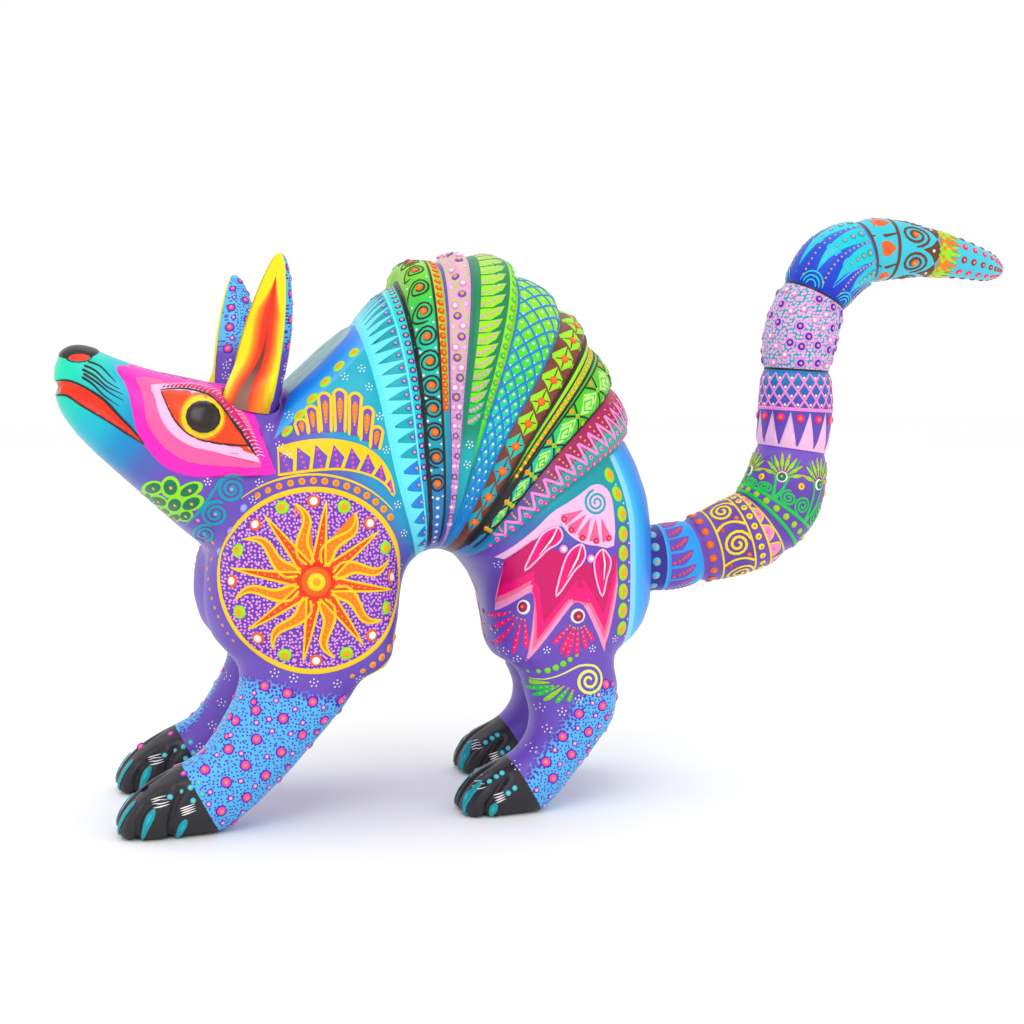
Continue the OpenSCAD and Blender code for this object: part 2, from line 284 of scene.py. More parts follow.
def carving(points):
    """How far each point moves out along its normal."""
    x, y, z = points.T
    r, angle, around = fan_place(points)
    depth = np.zeros(len(points))
    # Shell: a groove at each band edge and a rounded back between two grooves.
    on_shell = np.clip((158 - around) / 18, 0, 1) * (r > 12) * (z > FAN_Z)
    edges = [band_edge(k, around) for k in range(BANDS + 1)]
    for k, edge in enumerate(edges):
        depth -= on_shell * 1.15 * bump(np.radians(angle - edge) * r, 1.1)
    for front, rear in zip(edges, edges[1:]):
        across = np.clip((front - angle) / (front - rear), 0, 1)
        wide = np.radians(front - rear) * r
        depth += on_shell * np.clip(wide / 16, 0, 1) * 1.1 * (4 * across * (1 - across))
    # Eye: a raised almond in a shallow crease, and the domed iris.
    head = x < -120
    almond = outline_distance(x, z, EYE)
    depth += head * np.where(np.abs(y) > 12, 0.8 * np.clip(almond / 2, 0, 1) - 0.5 * bump(almond + 0.6, 0.9),
                             0)
    iris = np.hypot(x - EYE_CENTRE[0], z - EYE_CENTRE[1]) / 8.0
    depth += head * (np.abs(y) > 12) * 1.2 * np.clip(1 - iris ** 2, 0, 1)
    # Mouth: a slit that narrows backwards.
    for (ax, az), (bx, bz), wa, wb in zip(MOUTH_LINE, MOUTH_LINE[1:], MOUTH_GAPE, MOUTH_GAPE[1:]):
        share = segment_share(x, z, ax, az, bx, bz)
        gap = np.hypot(x - ax - share * (bx - ax), z - az - share * (bz - az))
        gape = wa + (wb - wa) * share
        cut = -1.5 * np.clip(1 - (gap / gape) ** 2, 0, 1) * np.clip(gape / 2.5, 0.3, 1)
        depth = np.where(x < -170, np.minimum(depth, cut), depth)
    # Nose pad and nostrils.
    nose = ((x + 199) / 11) ** 2 + ((z - 189.5) / 6.5) ** 2
    depth += 0.7 * np.clip((1 - nose) * 4, 0, 1)
    nostril = ((x + 197.7) / 4.8) ** 2 + ((z - 183.8) / 2.0) ** 2
    depth -= 1.3 * np.clip(1 - nostril, 0, 1) * (np.abs(y) > 4)
    return depth + toe_carving(x, y, z)


# Paws: side, X of the toe tips, X of the knuckles, lateral centre, half width of the paw.
PAWS = {
    "fore_leg_left": (-1, -189.0, -166.0, 37.5, 14.6), "fore_leg_right": (1, -185.2, -162.2, 37.5, 14.6),
    "hind_leg_left": (-1, -53.8, -34.0, 36.5, 14.5), "hind_leg_right": (1, -37.2, -18.0, 36.5, 14.5),
}
# Grooves between toes on the flanks of a paw: X from the toe tips, and Z.
FORE_TIP, HIND_TIP = -189.0, -53.8
FORE_GROOVES = (((19, 18), (15.8, 16.4), (11, 13.1), (8.4, 8.4), (7.5, -2)), ((24.6, 18.5), (22.9, 16.3),
                                                                              (21.7, 12.9), (20.5, 7.2),
                                                                              (20.3, -2)))
HIND_GROOVES = (((8, 13.7), (4.7, 10.6), (1.9, 6.3), (0.8, 3.2), (0.6, -2)),
                ((17.6, 15.5), (16.3, 14), (13.7, 11), (10.1, 5.7), (9.5, -2)))


def toe_carving(x, y, z):
    depth = np.zeros(len(x))
    for name, (side, tip, knuckle, centre, half_width) in PAWS.items():
        place = y - side * centre
        near = (np.abs(place) < half_width + 4) & (z < 32) & (x > tip - 6) & (x < tip + 34)
        depth -= 2.0 * np.clip((knuckle - x) / 9, 0, 1) * near * bump(place, 1.2)
        flank = np.clip((np.abs(place) - 6) / 4, 0, 1) * near
        for line in HIND_GROOVES if name.startswith("hind") else FORE_GROOVES:
            gap = np.full(len(x), 1e9)
            for (ax, az), (bx, bz) in zip(line, line[1:]):
                ax, bx = ax + tip, bx + tip
                share = segment_share(x, z, ax, az, bx, bz)
                gap = np.minimum(gap, np.hypot(x - ax - share * (bx - ax), z - az - share * (bz - az)))
            depth -= 1.9 * flank * bump(gap, 1.15)
            depth += 0.45 * flank * bump(gap - 4, 2.2)
    return depth


skin_points, skin_triangles = carved_skin()
SKIN = BVHTree.FromPolygons((skin_points * MM).tolist(), skin_triangles.tolist())


# ---------------------------------------------------------------- shader arithmetic
def linear(code):
    """A #rrggbb colour as linear red, green, blue and alpha."""
    parts = [int(code[i:i + 2], 16) / 255 for i in (1, 3, 5)]
    return tuple(c / 12.92 if c <= 0.04045 else ((c + 0.055) / 1.055) ** 2.4 for c in parts) + (1.0,)


class Num:
    """A number in a material, so that patterns are written as arithmetic."""

    def __init__(self, paint, socket):
        self.paint, self.socket = paint, socket

    def _do(self, operation, a, b=None, clamp=False):
        return self.paint.math(operation, a, b, clamp)

    def __add__(self, other):
        return self._do("ADD", self, other)

    def __radd__(self, other):
        return self._do("ADD", other, self)

    def __sub__(self, other):
        return self._do("SUBTRACT", self, other)

    def __rsub__(self, other):
        return self._do("SUBTRACT", other, self)

    def __mul__(self, other):
        return self._do("MULTIPLY", self, other)

    def __rmul__(self, other):
        return self._do("MULTIPLY", other, self)

    def __truediv__(self, other):
        return self._do("DIVIDE", self, other)

    def __abs__(self):
        return self._do("ABSOLUTE", self)

    def __lt__(self, other):
        return self._do("LESS_THAN", self, other)

    def __gt__(self, other):
        return self._do("GREATER_THAN", self, other)


class Paint:
    """A material under construction; x, y and z are the place on the piece in millimetres."""

    def __init__(self, name):
        self.material = bpy.data.materials.new(name)
        self.material.use_nodes = True
        self.tree = self.material.node_tree
        self.tree.nodes.clear()
        self.place = self.node("ShaderNodeTexCoord").outputs["Object"]
        split = self.node("ShaderNodeSeparateXYZ", Vector=self.place)
        self.x, self.y, self.z = (Num(self, s) * 1000 for s in split.outputs)

    def node(self, kind, settings=None, **inputs):
        made = self.tree.nodes.new(kind)
        for key, value in (settings or {}).items():
            setattr(made, key, value)
        for key, value in inputs.items():
            self.feed(made.inputs[key.replace("_", " ")], value)
        return made

    def feed(self, socket, value):
        value = value.socket if isinstance(value, Num) else value
        if isinstance(value, bpy.types.NodeSocket):
            self.tree.links.new(value, socket)
        else:
            socket.default_value = value

    def math(self, operation, a, b=None, clamp=False):
        made = self.node("ShaderNodeMath", {"operation": operation, "use_clamp": clamp})
        self.feed(made.inputs[0], a)
        if b is not None:
            self.feed(made.inputs[1], b)
        return Num(self, made.outputs[0])

    def lowest(self, a, b):
        return self.math("MINIMUM", a, b)

    def highest(self, a, b):
        return self.math("MAXIMUM", a, b)

    def attribute(self, name):
        return Num(self, self.node("ShaderNodeAttribute", {"attribute_name": name}).outputs["Fac"])

    def noise(self, size, detail=2.0):
        """Smooth noise from 0 to 1 with features of that size in millimetres."""
        made = self.node("ShaderNodeTexNoise", Vector=self.place, Scale=1000 / size, Detail=detail)
        return Num(self, made.outputs["Fac"])

    def cells(self, size, feature="F1", randomness=0.8):
        """Distance, in cells, to the nearest of many scattered points size apart."""
        made = self.node(
            "ShaderNodeTexVoronoi", {"feature": feature},
            Vector=self.place, Scale=1000 / size, Randomness=randomness,
        )
        return Num(self, made.outputs["Distance"])

    def stipple(self, size, across=None, up=None):
        """Distance, in cells, to the nearest of many dots laid over the surface size apart."""
        if across is None:
            normal = self.node("ShaderNodeTexCoord").outputs["Normal"]
            facing = self.node("ShaderNodeSeparateXYZ", Vector=normal).outputs
            ahead = abs(Num(self, facing[0])) > abs(Num(self, facing[1]))
            across = self.x + (self.y - self.x) * ahead
            up = self.z
        flat = self.node("ShaderNodeCombineXYZ", X=across, Y=up)
        made = self.node(
            "ShaderNodeTexVoronoi", {"voronoi_dimensions": "2D"},
            Vector=flat.outputs[0], Scale=1 / size, Randomness=0.72,
        )
        return Num(self, made.outputs["Distance"])

    def ramp(self, value, stops, sharp=False):
        made = self.node("ShaderNodeValToRGB", Fac=value)
        made.color_ramp.interpolation = "CONSTANT" if sharp else "EASE"
        elements = made.color_ramp.elements
        while len(elements) < len(stops):
            elements.new(0.5)
        for element, (at, colour) in zip(elements, stops):
            element.position = at
            element.color = linear(colour)
        return made.outputs["Color"]

    def scale_ramp(self, value, low, high, stops):
        """Colours along value, whose stops are given in value's own unit."""
        share = self.math("DIVIDE", value - low, high - low, True)
        return self.ramp(share, [((at - low) / (high - low), colour) for at, colour in stops])

    def over(self, base, colour, share):
        made = self.node("ShaderNodeMix", {"data_type": "RGBA"})
        self.feed(made.inputs[0], share)
        self.feed(made.inputs[6], linear(base) if isinstance(base, str) else base)
        self.feed(made.inputs[7], linear(colour) if isinstance(colour, str) else colour)
        return made.outputs[2]

    def finish(self, colour, rough=0.4, coat=0.12, relief=None, brush=1.0):
        """Satin acrylic paint with brush streaks, a faint mottle and a thin varnish."""
        colour = linear(colour) if isinstance(colour, str) else colour
        streak = self.node("ShaderNodeMapping", Vector=self.place, Scale=(1.0, 1.0, 0.28))
        streaks = self.node("ShaderNodeTexNoise", Vector=streak.outputs[0], Scale=900.0, Detail=3.0)
        mottle = self.noise(11, 3)
        value = 0.82 + 0.08 * mottle + (0.06 * brush) * Num(self, streaks.outputs["Fac"])
        tone = self.node(
            "ShaderNodeHueSaturation", Color=colour, Value=value, Hue=0.494 + 0.012 * mottle, Saturation=1.06,
        )
        shade = self.node("ShaderNodeBsdfPrincipled", Base_Color=tone.outputs[0])
        self.feed(shade.inputs["Roughness"], rough - 0.06 + 0.14 * self.noise(3.5, 2))
        shade.inputs["Coat Weight"].default_value = coat
        shade.inputs["Coat Roughness"].default_value = 0.22
        shade.inputs["Specular IOR Level"].default_value = 0.3
        height = Num(self, streaks.outputs["Fac"]) * 0.035
        if relief is not None:
            height = height + relief
        bumps = self.node("ShaderNodeBump", Height=height, Distance=MM, Strength=0.6)
        self.feed(shade.inputs["Normal"], bumps.outputs[0])
        out = self.node("ShaderNodeOutputMaterial")
        self.feed(out.inputs["Surface"], shade.outputs[0])
        return self.material


# ---------------------------------------------------------------- ground colours
PURPLE = "#7458bc"


def head_ground():
    p = Paint("head_ground")
    along = (p.x + 206) * 0.8 + (180 - p.z) * 0.45 + (p.noise(25) - 0.5) * 5
    colour = p.scale_ramp(along, 0, 60, [
        (0, "#0be3b6"), (9, "#04d8c4"), (20, "#04bfd6"), (32, "#2b93cc"), (43, "#5a6cbc"), (52, PURPLE),
    ])
    nose = ((p.x + 199) / 11) * ((p.x + 199) / 11) + ((p.z - 189.5) / 6.5) * ((p.z - 189.5) / 6.5)
    colour = p.over(colour, "#242023", nose < 1)
    return p.finish(colour, 0.38)


def shield_ground():
    p = Paint("shield_ground")
    fade = (p.z - 150) * 0.6 + (p.x + 110) * 0.8 + (p.noise(22) - 0.5) * 8
    colour = p.scale_ramp(fade, -12, 22, [(-8, PURPLE), (2, "#5f6fc2"), (9, "#3d9acb"), (18, "#12b0c8")])
    (x0, z0), (x1, z1) = RIM_PLANE
    length = math.hypot(x1 - x0, z1 - z0)
    below = ((p.x - x0) * ((z1 - z0) / length)) - ((p.z - z0) * ((x1 - x0) / length))
    rim = p.scale_ramp(below, 0, 8, [(0, "#3a78d8"), (2, "#2f82e6"), (5.5, "#4fa6f2"), (7.6, "#66b8f6")])
    on_rim = (below < 7.6) * (p.z > 152) * (p.x > -127)
    colour = p.over(colour, rim, on_rim)
    face = (below < 0.35) * (p.z > 160)
    grey = p.ramp(p.noise(9), [(0.3, "#5d98a2"), (0.7, "#86b4b6")])
    colour = p.over(colour, grey, face)
    return p.finish(colour)


def haunch_ground():
    p = Paint("haunch_ground")
    fade = p.z + (p.noise(22) - 0.5) * 8
    colour = p.scale_ramp(fade, 100, 145, [(106, PURPLE), (116, "#4a76b4"), (126, "#1f9cae"),
                                           (140, "#149aa2")])
    # Blue rear rim, pale at its inner border and darker blue towards the rear outline: this darkening is
    # painted shade where the rounded rim turns away from the light.
    curve = p.highest(p.z - 112, 0)
    inner = 17.9 - curve * curve * 0.0077
    rear = p.x - inner
    rim = p.scale_ramp(rear, 0, 18, [
        (0, "#97e2fd"), (2.6, "#8adcfb"), (3.2, "#57c2fb"), (7, "#45adf8"), (11, "#3a8ff0"), (17, "#4a78dc"),
    ])
    colour = p.over(colour, rim, (rear > 0) * (p.z > 60))
    return p.finish(colour)


def leg_ground(name, side, tip, hind):
    """Purple leg with a light blue zone under a net of purple dots; black paw."""
    p = Paint(name + "_ground")
    x = p.x - tip
    drift = (p.noise(12) - 0.5) * 7
    if hind:
        blue = p.lowest((x - 46.6 - (p.z - 40.5) * 0.8) * 0.8, 50 - p.z)
        ankle = (x - 28.8) * 0.86 + (p.z - 10) * 0.51
        outer = p.math("MULTIPLY", (p.y * side - 26) * 0.15, 1.0, True)
    else:
        blue = 57 - (x - 58) * 0.24 - p.z
        ankle = (x - 33.5) * 0.885 + (p.z - 12.5) * 0.466
        outer = p.math("MULTIPLY", (p.y * side - 27 - p.highest(x - 66, 0) * 0.1) * 0.15, 1.0, True)
    share = p.math("MULTIPLY", (blue + drift + 3) * 0.14, 1.0, True) * outer
    net = p.stipple(1.45)
    ground = p.over("#68bff6", "#5540b4", net < 0.26 + (1 - share) * 0.3)
    colour = p.over(PURPLE, ground, p.math("MULTIPLY", share, 1.6, True))
    colour = p.over(colour, "#29262c", ankle < 0)
    return p.finish(colour, 0.42, relief=(net < 0.26) * share * 0.03)


def band_ground(number):
    p = Paint(f"band_{number + 1}_ground")
    across, around = p.attribute("across"), p.attribute("around")
    drift = around + (p.noise(16) - 0.5) * 12
    if number == 0:
        teeth = "#78eef9"
        strip = p.scale_ramp(drift, 20, 160, [(30, "#0fdcc8"), (80, "#12cfc8"), (115, "#27a8d6"),
                                              (150, "#4a7cd0")])
        colour = p.over(teeth, strip, across > 0.74)
    elif number == 1:
        colour = p.scale_ramp(drift, 10, 160, [
            (14, "#8fdc12"), (34, "#4ccf4a"), (58, "#16c8a4"), (95, "#12a6b4"), (128, "#3b86c4"),
            (150, "#5470c4"),
        ])
        strip = p.scale_ramp(drift, 20, 150, [(60, "#b4dc1c"), (82, "#9bd62a"), (90, "#1ba8b4"),
                                              (140, "#3b78bc")])
        colour = p.over(colour, strip, across > 0.7)
    elif number == 2:
        base = p.scale_ramp(drift, 10, 150, [
            (20, "#a8e62a"), (62, "#94dc3c"), (84, "#5fb0a0"), (112, "#5c8cc4"), (145, "#7a68c0"),
        ])
        dots = p.stipple(1.3, across * 12, around)
        colour = p.over(base, "#f8a6da", dots < 0.5)
        edge = p.highest(across < 0.11, across > 0.94)
        colour = p.over(colour, "#7a56b8", edge)
    elif number == 3:
        base = p.scale_ramp(drift, 10, 160, [(60, "#0d8455"), (96, "#0d8a6c"), (112, "#14b0b6"),
                                             (145, "#2c84c4")])
        strip = p.scale_ramp(drift, 10, 160, [(70, "#9be80e"), (100, "#5fe04a"), (118, "#0e8a62"),
                                              (150, "#0e7a62")])
        colour = p.over(base, strip, across > 0.76)
    elif number == 4:
        colour = p.scale_ramp(drift, 10, 160, [(30, "#8ee40c"), (66, "#4fdc52"), (96, "#16d0b0"),
                                               (124, "#12aebf"), (150, "#2c8ccc")])
    elif number == 5:
        colour = p.ramp(p.noise(5), [(0.2, "#73392c"), (0.8, "#86493a")])
    elif number == 6:
        colour = p.scale_ramp(drift, 10, 160, [(30, "#64cc2c"), (70, "#4fd032"), (98, "#12cf9a"),
                                               (130, "#18b4b4"), (150, "#3a80c8")])
        strip = p.scale_ramp(drift, 10, 160, [(60, "#a4e80e"), (96, "#84dc20"), (118, "#22262a")])
        colour = p.over(colour, strip, across < 0.33)
    else:
        front = p.scale_ramp(drift, 10, 160, [(40, "#b0285c"), (90, "#a8305e"), (122, "#5c5ca0"),
                                              (140, "#3a84ba")])
        rear = p.scale_ramp(drift, 10, 160, [(50, "#20b896"), (95, "#16a8a4"), (140, "#2c8ec0")])
        colour = p.over(front, rear, across > 0.5)
        colour = p.over(colour, "#149aa0", across > 0.9)
    return p.finish(colour)


# ---------------------------------------------------------------- splitting the skin
def split_skin():
    """Cuts the skin at the neck, the leg tops and the band edges; returns points and triangles by region."""
    points, triangles = skin_points, skin_triangles
    near_neck = (points[:, 0] < -85) & (points[:, 2] > 95)
    field = np.where(near_neck, plane_distance(points, NECK_PLANE), -50)
    points, triangles = cut_along(points, triangles, field)
    points, triangles = cut_along(points, triangles, points[:, 2] - LEG_TOP)
    for number in range(BANDS + 1):
        _, angle, around = fan_place(points)
        field = np.where(angle > 10, angle - band_edge(number, around), -50)
        field = np.where((angle > 150) | (points[:, 2] < FAN_Z + 4), 50, field)
        points, triangles = cut_along(points, triangles, field)
    centre = points[triangles].mean(axis=1)
    _, angle, around = fan_place(centre)
    region = np.full(len(triangles), "haunch", dtype=object)
    shell = (centre[:, 2] > LEG_TOP)
    region[shell & ((angle > 90) | (angle < -120))] = "shield"
    above = centre[:, 2] > FAN_Z + 4
    for number in range(BANDS):
        front, rear = band_edge(number, around), band_edge(number + 1, around)
        region[shell & above & (angle <= front) & (angle > rear)] = f"band_{number + 1}"
    region[shell & above & (angle > band_edge(0, around))] = "shield"
    region[shell & above & (angle <= band_edge(BANDS, around))] = "haunch"
    is_head = (plane_distance(centre, NECK_PLANE) > 0) & (centre[:, 0] < -85) & (centre[:, 2] > 95)
    region[is_head] = "head"
    fore = centre[:, 0] < FAN_X
    left = centre[:, 1] < 0
    for is_fore, word in ((True, "fore"), (False, "hind")):
        for is_left, hand in ((True, "left"), (False, "right")):
            region[~shell & (fore == is_fore) & (left == is_left)] = f"{word}_leg_{hand}"
    return points, triangles, region


def skin_piece(name, points, normals, triangles, material, replaced):
    used, index = np.unique(triangles, return_inverse=True)
    piece = new_object(name, points[used], index.reshape(-1, 3).tolist(), "figure", material)
    piece.data.normals_split_custom_set_from_vertices(normals[used].tolist())
    if replaced:
        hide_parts(*replaced)
    return piece, points[used]


def build_skin():
    points, triangles, region = split_skin()
    normals = point_normals(points, triangles)
    made = {
        "head": ("painted_head", head_ground(), ["head", "neck_dowel"]),
        "shield": ("painted_shell", shield_ground(), ["torso"]),
        "haunch": ("painted_shell", haunch_ground(), []),
    }
    for name, (side, tip, *_rest) in PAWS.items():
        dowel = name.replace("leg", "dowel")
        made[name] = ("painted_legs", leg_ground(name, side, tip, name.startswith("hind")), [name, dowel])
    for number in range(BANDS):
        made[f"band_{number + 1}"] = ("painted_shell", band_ground(number), [])
    for name, (slot, material, replaced) in made.items():
        chosen = triangles[region == name]
        piece_name = name if "leg" in name else "skin_" + name
        piece, place = skin_piece(piece_name + "_carved", points, normals, chosen, material, replaced)
        if name.startswith("band_"):
            number = int(name[5:]) - 1
            _, angle, around = fan_place(place)
            front, rear = band_edge(number, around), band_edge(number + 1, around)
            across = np.clip((front - angle) / (front - rear), 0, 1)
            for word, values in (("across", across), ("around", around)):
                held = piece.data.attributes.new(word, "FLOAT", "POINT")
                held.data.foreach_set("value", values.astype(np.float32))


build_skin()


# ---------------------------------------------------------------- laying paint on a surface
PALETTE = {
    "white": "#f6f3f4", "pink": "#f795d8", "pale_pink": "#f9c4ea", "hot_pink": "#fb4086",
    "magenta": "#fa47c4", "petal": "#fba0cc",
    "rose": "#fd70ae", "rose_petal": "#f5709e", "salmon": "#fb7a9c", "crimson": "#d4266c", "coral": "#fb5c58",
    "lagoon": "#1c9cb8", "red": "#ee3412", "red_orange": "#f94a22",
    "orange": "#fb8418", "deep_orange": "#f3640e", "peach": "#fba468", "amber": "#fbaa1c",
    "yellow": "#fddc06",
    "lemon": "#fdf000", "pale_yellow": "#e8ee86", "lime": "#9bea0c", "leaf": "#7ede18",
    "pale_green": "#c4ee84",
    "green": "#18ca50", "dark_green": "#0d7a52", "sea": "#14c8a8", "teal": "#12aab8", "turquoise": "#0aa0ac",
    "cyan": "#22cfe0", "pale_cyan": "#78eef9", "sky": "#5cb8f4", "blue": "#2b74dc", "royal": "#3440d0",
    "blue_line": "#1e86dc", "sky_deep": "#3f8fe0", "violet": "#7a56b8", "purple": PURPLE, "maroon": "#a42a58",
    "brown": "#6c3a2c",
    "black": "#211d20", "gold": "#fcd000", "flame_red": "#ee4a0c", "violet_dark": "#5a34b4",
    "rose_dot": "#fb5fb0", "sky_bead": "#5ccdf2",
}
THIN = 0.03
THICK = 0.11
LAYER = 0.1
pots = {}


def lay(body, colour, points, faces):
    """Keeps points and faces of one paint on one body, to be made one piece at the end."""
    held = pots.setdefault((body, colour), ([], []))
    start = len(held[0])
    held[0].extend(points)
    held[1].extend(tuple(i + start for i in face) for face in faces)


class Flank:
    """The side of the figure as seen square on: places are X and Z."""

    body, step, gap = "figure", (1.0, 1.0), 4.0

    def __init__(self, side, middle=(-60.0, 110.0)):
        self.side, self.middle = side, middle

    def find(self, x, z):
        for _ in range(14):
            start = Vector((x, self.side * 90, z)) * MM
            hit, normal, _, _ = SKIN.ray_cast(start, Vector((0, -self.side, 0)))
            if hit:
                return hit / MM, normal
            x += (self.middle[0] - x) * 0.025
            z += (self.middle[1] - z) * 0.025
        return None

    def scale(self, _x, _z):
        return 1.0, 1.0


class Band:
    """One shell band: places are the share across it, front to rear, and the degrees from the ridge."""

    body = "figure"

    def __init__(self, number, side):
        self.number, self.side = number, side
        self.step = (0.1, 1.2)

    def find(self, across, around):
        side = self.side if around >= 0 else -self.side
        around = abs(around)
        front, rear = band_edge(self.number, around), band_edge(self.number + 1, around)
        angle, way = math.radians(front + (rear - front) * across), math.radians(around)
        out = Vector((math.cos(angle), 0, math.sin(angle)))
        start = Vector((FAN_X, 0, FAN_Z)) + out * SECTION_R
        hit, normal, _, _ = SKIN.ray_cast(start * MM,
                                          out * math.cos(way) + Vector((0, side * math.sin(way), 0)))
        return (hit / MM, normal) if hit else None

    def scale(self, across, around):
        """Units per millimetre at a place."""
        hit = self.find(across, around)
        r = math.hypot(hit[0].x - FAN_X, hit[0].z - FAN_Z)
        front, rear = band_edge(self.number, abs(around)), band_edge(self.number + 1, abs(around))
        out = math.hypot(hit[0].y, r - SECTION_R)
        return 1 / (math.radians(front - rear) * r), math.degrees(1 / out)


def circle(centre, radius, points=48, stretch=1.0, turn=0.0):
    """Points round a circle or an ellipse whose turned first axis is stretched."""
    turn = math.radians(turn)
    out = []
    for k in range(points):
        a = 2 * math.pi * k / points
        u, v = radius * stretch * math.cos(a), radius * math.sin(a)
        out.append((centre[0] + u * math.cos(turn) - v * math.sin(turn),
                    centre[1] + u * math.sin(turn) + v * math.cos(turn)))
    return out


def polar(centre, radius, degrees):
    a = math.radians(degrees)
    return centre[0] + radius * math.cos(a), centre[1] + radius * math.sin(a)


def arc(centre, radius, start, end, points=24):
    return [polar(centre, radius, start + (end - start) * k / (points - 1)) for k in range(points)]


def spiral(centre, radius, turns, start, hand=1, core=0.12, points=14):
    """A spiral that winds in from its rim; hand 1 winds anticlockwise."""
    n = int(points * turns)
    return [
        polar(centre, radius * (1 - (1 - core) * k / n), start + hand * 360 * turns * k / n)
        for k in range(n + 1)
    ]


def smooth_line(points, closed=False, steps=5):
    """A Catmull-Rom curve through the points."""
    n = len(points)
    out = []
    for i in range(n if closed else n - 1):
        if closed:
            a, b, c, d = (points[(i + k) % n] for k in (-1, 0, 1, 2))
        else:
            a, b, c, d = (points[min(max(i + k, 0), n - 1)] for k in (-1, 0, 1, 2))
        for s in range(steps):
            u = s / steps
            out.append(tuple(
                0.5 * (2 * q + (r - p) * u + (2 * p - 5 * q + 4 * r - t) * u * u
                       + (3 * q - p - 3 * r + t) * u ** 3)
                for p, q, r, t in zip(a, b, c, d)
            ))
    if not closed:
        out.append(tuple(points[-1]))
    return out


def placed(space, at, shape):
    """A shape in millimetres around a place, in the surface's own units."""
    su, sv = space.scale(*at)
    return [(at[0] + u * su, at[1] + v * sv) for u, v in shape]


def fill(space, outline, colour, level=0):
    """A thin film of paint inside an outline, rounded off at its edge."""
    su, sv = space.step
    outline = [(u / su, v / sv) for u, v in outline]
    edge = []
    for (au, av), (bu, bv) in zip(outline, outline[1:] + outline[:1]):
        parts = max(1, round(math.hypot(bu - au, bv - av)))
        edge += [(au + (bu - au) * k / parts, av + (bv - av) * k / parts) for k in range(parts)]
    us, vs = zip(*edge)
    grid_u, grid_v = np.meshgrid(np.arange(min(us), max(us), 0.95), np.arange(min(vs), max(vs), 0.95))
    grid_u, grid_v = grid_u.ravel(), grid_v.ravel()
    kept = outline_distance(grid_u, grid_v, tuple(edge)) > 0.42
    inner = list(zip(grid_u[kept].tolist(), grid_v[kept].tolist()))
    flat = [Vector(p) for p in edge + inner]
    flat, _, faces, *_ = delaunay_2d_cdt(flat, [], [list(range(len(edge)))], 1, 1e-5, False)
    depth = outline_distance(np.array([p.x for p in flat]), np.array([p.y for p in flat]), tuple(edge))
    points, number = [], {}
    for i, p in enumerate(flat):
        hit = space.find(p.x * su, p.y * sv)
        if hit is None:
            continue
        rise = THIN + (THICK - THIN) * min(1.0, max(0.0, depth[i]) * 2.5) + LAYER * level
        number[i] = len(points)
        points.append(hit[0] + hit[1] * rise)
    kept_faces = []
    for face in faces:
        if all(i in number for i in face):
            corners = [number[i] for i in face]
            a, b, c = (points[i] for i in corners[:3])
            out = space.find(flat[face[0]].x * su, flat[face[0]].y * sv)[1]
            kept_faces.append(corners if (b - a).cross(c - a).dot(out) > 0 else corners[::-1])
    lay(space.body, colour, points, kept_faces)


SECTION = ((-0.5, 0.0), (-0.36, 0.75), (0.0, 1.0), (0.36, 0.75), (0.5, 0.0))


def finer(line, closed, longest=1.5):
    """The same line in steps no longer than the longest."""
    ends = list(line) + [line[0]] if closed else list(line)
    points = []
    for a, b in zip(ends, ends[1:]):
        count = max(1, math.ceil(math.dist(a, b) / longest))
        points += [(a[0] + (b[0] - a[0]) * k / count, a[1] + (b[1] - a[1]) * k / count) for k in range(count)]
    return points if closed else points + [ends[-1]]


def stroke(space, line, width, colour, level=1, closed=False, rise=0.16):
    """A brush line, which breaks at a gap; width is one number or several, spread evenly along it."""
    widths = width if isinstance(width, tuple) else (width, width)
    gap = getattr(space, "gap", None)
    if gap:
        line = finer(line, closed)
    hits = [h for h in (space.find(*p) for p in line) if h is not None]
    if len(hits) < 2:
        return
    n, points, faces = len(hits), [], []
    for i, (place, normal) in enumerate(hits):
        before = hits[(i - 1) % n if closed else max(i - 1, 0)][0]
        after = hits[(i + 1) % n if closed else min(i + 1, n - 1)][0]
        across = normal.cross(after - before).normalized()
        share = i / (n - 1) * (len(widths) - 1)
        low = min(int(share), len(widths) - 2)
        w = widths[low] + (widths[low + 1] - widths[low]) * (share - low)
        if not closed and i in (0, n - 1):
            w *= 0.45
        for u, v in SECTION:
            points.append(place + across * (u * w) + normal * (THIN + LAYER * level + v * rise * min(1, w)))
    m = len(SECTION)
    for i in range(n if closed else n - 1):
        j = (i + 1) % n
        if gap is None or (hits[i][0] - hits[j][0]).length < gap:
            faces += [(i * m + k, j * m + k, j * m + k + 1, i * m + k + 1) for k in range(m - 1)]
    lay(space.body, colour, points, faces)


DOME = ((1.0, 0.0), (0.93, 0.38), (0.72, 0.74), (0.4, 0.94))


def dome(body, place, normal, along, radius, stretch, height, base, colour):
    side = normal.cross(along).normalized()
    along = side.cross(normal).normalized()
    count = 8 if radius < 0.6 else 14
    points, faces = [], []
    for out, up in DOME:
        for k in range(count):
            a = 2 * math.pi * k / count
            points.append(
                place + along * (radius * stretch * out * math.cos(a)) + side * (radius * out * math.sin(a))
                + normal * (base + height * up)
            )
    points.append(place + normal * (base + height))
    for ring in range(len(DOME) - 1):
        for k in range(count):
            a, b = ring * count + k, ring * count + (k + 1) % count
            faces.append((a, b, b + count, a + count))
    last = (len(DOME) - 1) * count
    faces += [(last + k, last + (k + 1) % count, len(points) - 1) for k in range(count)]
    lay(body, colour, points, faces)


